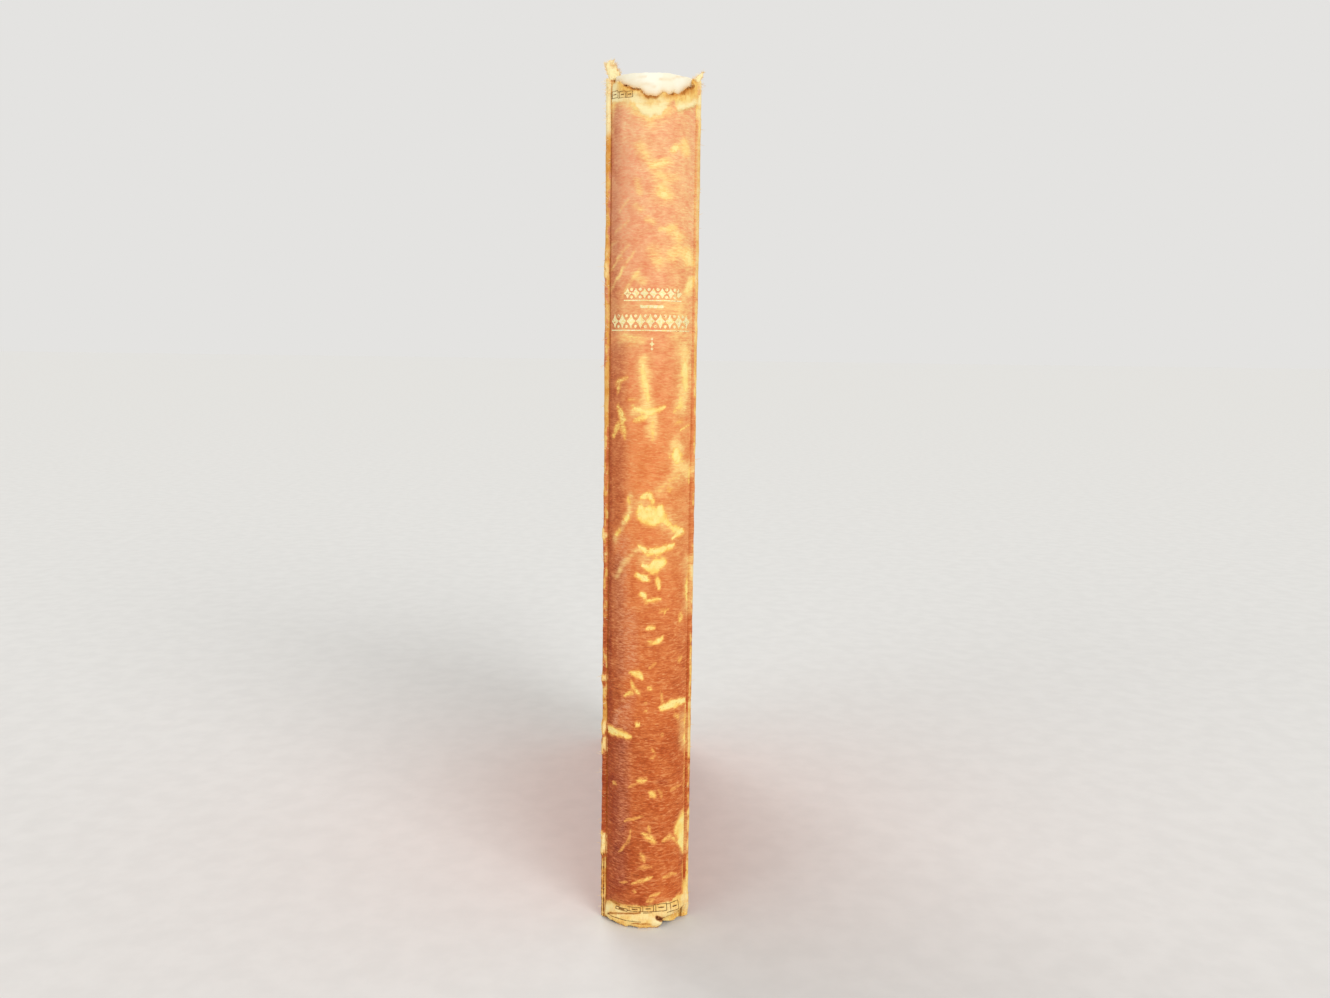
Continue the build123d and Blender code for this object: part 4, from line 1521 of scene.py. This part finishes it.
def disc(angle, height, size):
    """Round dot, as its (angle, height) outline."""
    turns = np.linspace(0, 2 * pi, 11)[:-1]
    return [(angle + size * cos(t) / spine_radius, height + size * sin(t)) for t in turns]


def bar(first, last, low, high, steps=1, levels=1):
    """Upright-sided bar between two angles, in short pieces that follow the surface."""
    stations = np.linspace(first, last, steps + 1)
    heights = np.linspace(low, high, levels + 1)
    return [[(a, c), (b, c), (b, d), (a, d)] for a, b in zip(stations[:-1], stations[1:])
            for c, d in zip(heights[:-1], heights[1:])]


def ornament_row(left, right, top_row, bottom_row, count):
    """Row of lozenges with dots between them, over a thin rule, between photo pixels."""
    first, top = on_spine(left, top_row)
    last, bottom = on_spine(right, bottom_row)
    middle, tall = (top + bottom) / 2 + GILT_RULE, top - bottom - 2 * GILT_RULE
    pitch = (last - first) / count
    shapes = []
    for step in range(count):
        centre = first + (step + 0.5) * pitch
        shapes.append(lozenge(centre, middle, 0.98 * pitch * spine_radius, tall))
        if step:
            for level in (0.36, -0.36):
                shapes.append(disc(centre - pitch / 2, middle + level * tall, DOT))
    return shapes + bar(first, last, bottom, bottom + GILT_RULE, 28)


def gilding(surface):
    """Plain gilt ornament on the upper spine."""
    shapes = [shape for row in ORNAMENT_ROWS for shape in ornament_row(*row)]
    left, right, top_row, bottom_row = SHORT_RULE
    first, low = on_spine(left, bottom_row)
    last, high = on_spine(right, top_row)
    shapes += bar(first, last, low + 0.25, high - 0.1, 12)
    for column, row, size in DROPS:
        angle, height = on_spine(column, row)
        shapes.append(lozenge(angle, height, size, size * 1.15))
    foil("gilt_ornament", shapes, surface, GILT_PAINT, GILT_FOIL)


def frame_bars(left, right, low, high, line):
    """Outline of an upright rectangle as four bars."""
    edge = line / spine_radius
    return (bar(left, right, low, low + line, 8) + bar(left, right, high - line, high, 8)
            + bar(left, left + edge, low, high, 1, 5) + bar(right - edge, right, low, high, 1, 5))


def tooled_roll(surface):
    """Dark roll of framed dashes across the tail, and the remains of one at the head: blackening, with
    painted shadow in the tooled impressions.
    """
    shapes = []
    for frames, line in ((TAIL_ROLL, TAIL_LINE), (HEAD_ROLL, HEAD_LINE)):
        ends = [right for left, right, top, bottom in frames]
        for (left, right, top, bottom), before in zip(frames, [frames[0][0]] + ends):
            start, _ = on_spine(before, top)
            first, high = on_spine(left, top)
            last, low = on_spine(right, bottom)
            shapes += frame_bars(first, last, low, high, line)
            if before < left:
                shapes += bar(start, first, low, low + line, 2) + bar(start, first, high - line, high, 2)
            inset = 0.26 * (last - first)
            middle = (low + high) / 2
            shapes += bar(first + inset, last - inset, middle - line, middle + line, 5)
    for left, right, row in TAIL_RULES:
        first, low = on_spine(left, row)
        last, _ = on_spine(right, row)
        shapes += bar(first, last, low, low + TAIL_RULE, 12)
    foil("tooled_roll", shapes, surface, TOOLING_PAINT, ROLL_FOIL)


# Torn scraps and loose fibres

SCRAP_ROWS = 26
SCRAP_COLUMNS = 20
SCRAP_THICKNESS = 1.5
FIBRE = 0.055
FIBRE_STEPS = 5
FIBRE_SIDES = 3
FLOOR_CLEARANCE = 0.05
TORN_EDGE_SEED = 23
HEAD_FIBRES = 110
TAIL_FIBRES = 90


def scrap(side):
    """Torn scrap of leather standing on the head of a joint."""
    seed = side.scrap_seed
    rise = np.linspace(0, 1, SCRAP_ROWS)[:, None]
    across = np.linspace(0, 1, SCRAP_COLUMNS)[None, :]
    base, top = np.array([side.foot, side.crown], float)
    foot = base[0] + (base[1] - base[0]) * across[..., None]
    crown = top[0] + (top[1] - top[0]) * across[..., None]
    line = foot + (crown - foot) * rise[..., None]
    flat = np.stack([line[..., 0], np.full(line.shape[:2], joint_y + 0.2), line[..., 1]], -1)
    ragged = ripple(flat, 0.7, seed) * rise
    flat[..., 2] += 0.35 * ragged
    flat[..., 0] += 0.16 * ripple(flat, 0.6, seed + 1) * rise
    flat[..., 1] += 0.35 * ripple(flat, 2.2, seed + 2) + 0.5 * rise**2
    round_side = np.sqrt(np.clip(4 * across * (1 - across), 0, 1))
    thick = SCRAP_THICKNESS * (1 - 0.6 * rise) * (0.15 + 0.85 * round_side)
    thick = thick * (1 + 0.5 * ripple(flat, 1.0, seed + 4))
    front, back = flat.copy(), flat.copy()
    front[..., 1] -= thick / 2 - 0.16 * ripple(flat, 0.5, seed + 3)
    back[..., 1] += thick / 4 + 0.05
    points, faces = closed_sheet(front, back)
    streaks = ripple(flat, (0.45, 2, 2.0), seed + 5) + 0.6 * ripple(flat, 0.5, seed + 6)
    glow = np.tile(np.clip(0.95 + 0.5 * streaks, 0, 1).ravel(), 2)
    # painted shade, darker towards the scrap's right side and broken by streaks
    shade = np.tile(np.clip(0.5 * across**2 - 0.9 * streaks - 0.2, 0, 0.8).ravel(), 2)
    # fully faded, with painted light from above
    fields = leather_fields(len(points), raw=1.0, fade=1.0, glow=glow, shade=shade)
    add_piece(f"{side.name}_torn_scrap", points, faces, LEATHER_PAINT, side.cover,
              fields=fields)
    return flat


def fibres(name, hairs, body, seed):
    """Loose fibres: thin tapered hairs that bend. A hair is its root, direction and length."""
    random = np.random.default_rng(seed)
    points, faces = [], []
    for root, direction, length in hairs:
        direction = direction / np.linalg.norm(direction)
        bend = random.normal(0, 0.5, 3)
        first = np.cross(direction, [0.3, 0.2, 1.0])
        first = first / np.linalg.norm(first)
        second = np.cross(direction, first)
        base = len(points)
        for step in range(FIBRE_STEPS):
            share = step / FIBRE_STEPS
            centre = root + direction * length * share + bend * length * share**2 * 0.6
            for corner in range(FIBRE_SIDES):
                turn = 2 * pi * corner / FIBRE_SIDES
                ring = first * cos(turn) + second * sin(turn)
                points.append(centre + ring * FIBRE * (1 - 0.7 * share))
        points.append(root + direction * length + bend * length * 0.6)
        tip = len(points) - 1
        faces.append([base + 2, base + 1, base])
        for step in range(FIBRE_STEPS):
            last = step == FIBRE_STEPS - 1
            for corner in range(FIBRE_SIDES):
                a = base + step * FIBRE_SIDES + corner
                b = base + step * FIBRE_SIDES + (corner + 1) % FIBRE_SIDES
                faces.append([a, b, tip] if last else [a, b, b + FIBRE_SIDES, a + FIBRE_SIDES])
    points = np.array(points)
    points[:, 2] = np.maximum(points[:, 2], FLOOR_CLEARANCE)
    add_piece(name, points, faces, FIBRE_PAINT, body, sharp=80)


def torn_edge_fibres():
    """Fibres along the torn head and tail of the spine."""
    random = np.random.default_rng(TORN_EDGE_SEED)
    hairs = []
    for count, tear, at_head in ((HEAD_FIBRES, HEAD_TEAR, True), (TAIL_FIBRES, TAIL_TEAR, False)):
        for angle in random.uniform(-spine_sweep, spine_sweep, count):
            lost = across_line(tear, spine_radius * sin(angle) / cover_outer_x)
            height = head_z - lost - 0.25 if at_head else lost + 0.35
            root = on_arc(spine_radius - random.uniform(0.05, 0.4), angle, height)
            outward = on_arc(1.0, angle, 0.0) - np.array([0, axis_y, 0])
            outward = outward * random.uniform(0.1, 0.7)
            direction = outward + np.array([random.normal(0, 0.6), 0, 0.7 if at_head else -0.25])
            hairs.append((root, direction, random.uniform(0.3, 1.1)))
    fibres("spine_fibres", hairs, "pages_and_spine", TORN_EDGE_SEED + 1)


def joint_fibres(side, ridge):
    """Fibres that stand out from a worn joint ridge, thicker at the head."""
    random = np.random.default_rng(side.joint_fibre_seed)
    rows, columns = ridge.shape[:2]
    hairs = []
    for _ in range(side.joint_fibres):
        row = int(rows * (1 - random.uniform(0, 1) ** 2)) - 1
        column = random.integers(int(columns * 0.3), int(columns * 0.7))
        sideways = side.sign * random.uniform(0.3, 1.0)
        direction = np.array([sideways, -random.uniform(0.0, 0.7), random.normal(0, 0.5)])
        hairs.append((ridge[row, column], direction, random.uniform(0.25, 1.3)))
    fibres(f"{side.name}_joint_fibres", hairs, side.cover, side.joint_fibre_seed + 1)


def scrap_fibres(side, flat):
    """Fibres round the edge of a torn scrap."""
    random = np.random.default_rng(side.scrap_fibre_seed)
    rows, columns = flat.shape[:2]
    hairs = []
    for _ in range(side.scrap_fibres):
        edge = random.integers(0, 3)
        row = rows - 1 if edge == 0 else random.integers(rows // 3, rows)
        column = random.integers(0, columns) if edge == 0 else (0 if edge == 1 else columns - 1)
        sideways = (column / columns - 0.5) * 1.4 + random.normal(0, 0.3)
        direction = np.array([sideways, random.normal(0, 0.4), random.uniform(0.2, 1)])
        hairs.append((flat[row, column], direction, random.uniform(0.3, 1.0)))
    fibres(f"{side.name}_scrap_fibres", hairs, side.cover, side.scrap_fibre_seed + 1)


# Build the book

spine_surface = spine_skin()
card_inlay()
turn_ins()
page_leaves()
endband("head_band", pages_high[2], 1)
endband("tail_band", pages_low[2], -1)
gilding(spine_surface)
tooled_roll(spine_surface)
ridges = [joint_strip(side) for side in (BACK, FRONT)]
for side in (BACK, FRONT):
    cover_skin(side)
scraps = [scrap(side) for side in (BACK, FRONT)]
torn_edge_fibres()
for side, ridge in zip((BACK, FRONT), ridges):
    joint_fibres(side, ridge)
for side, flat in zip((BACK, FRONT), scraps):
    scrap_fibres(side, flat)
for side in (FRONT, BACK):
    paint_node(f"{side.name}_flyleaf", FLYLEAF_PAINT)
    paint_node(f"{side.name}_pastedown", PASTEDOWN_PAINT)
    paint_node(f"{side.name}_board", BOARD_PAINT)
    paper_hinge(side)
paint_node("spine_lining", LINING_PAINT)


# Floor, light and camera

FLOOR_SIZE = 60
SOFTNESS = 35
WORLD_STRENGTH = 0.56
LAMPS = {
    "key": ((0.50, -0.85, 0.55), 1.34),
    "fill": ((-0.75, -0.60, 0.30), 0.47),
    "back": ((-0.35, 0.85, 0.65), 1.02),
}


def pale_floor():
    """Large plain floor under the book."""
    bpy.ops.mesh.primitive_plane_add(size=FLOOR_SIZE)
    floor = bpy.context.object
    floor.name = "floor"
    paint = Paint("pale_floor")
    color = paint.wash(tone(226, 225, 222), paint.noise(9, 3), 0.3, 0.7, tone(230, 229, 226))
    floor.data.materials.append(paint.finish(color, 0.9, 0.0))


def soft_light(name, place, strength):
    """Broad soft light that shines from a place towards the book, equally strong over the whole floor."""
    lamp = bpy.data.lights.new(name, "SUN")
    lamp.angle = radians(SOFTNESS)
    lamp.energy = strength
    holder = bpy.data.objects.new(name, lamp)
    holder.rotation_euler = (-Vector(place)).to_track_quat("-Z", "Y").to_euler()
    bpy.context.scene.collection.objects.link(holder)


def studio_world():
    """Pale surroundings that also fill the shadows."""
    world = bpy.data.worlds.new("studio")
    bpy.context.scene.world = world
    world.use_nodes = True
    nodes, links = world.node_tree.nodes, world.node_tree.links
    background = nodes["Background"]
    background.inputs["Color"].default_value = tone(255, 254, 252)
    background.inputs["Strength"].default_value = WORLD_STRENGTH
    shown = nodes.new("ShaderNodeBackground")
    shown.inputs["Color"].default_value = tone(228, 227, 225)
    path = nodes.new("ShaderNodeLightPath")
    choose = nodes.new("ShaderNodeMixShader")
    links.new(path.outputs["Is Camera Ray"], choose.inputs[0])
    links.new(background.outputs[0], choose.inputs[1])
    links.new(shown.outputs[0], choose.inputs[2])
    links.new(choose.outputs[0], nodes["World Output"].inputs["Surface"])


def photo_camera():
    """Camera at the photograph's place and angle."""
    right, up, forward = camera_axes()
    camera = bpy.data.objects.new("camera", bpy.data.cameras.new("camera"))
    camera.data.sensor_width = SENSOR_WIDTH
    camera.data.lens = FOCAL_PIXELS / PHOTO_WIDTH * SENSOR_WIDTH
    camera.data.clip_start = 0.01
    turn = Matrix(np.stack([right, up, -forward], 1).tolist())
    camera.matrix_world = Matrix.Translation(Vector(CAMERA_PLACE * MM)) @ turn.to_4x4()
    bpy.context.scene.collection.objects.link(camera)
    bpy.context.scene.camera = camera


pale_floor()
studio_world()
for lamp_name, (lamp_place, lamp_strength) in LAMPS.items():
    soft_light(lamp_name, lamp_place, lamp_strength)
photo_camera()
bpy.context.scene.view_settings.view_transform = "Standard"
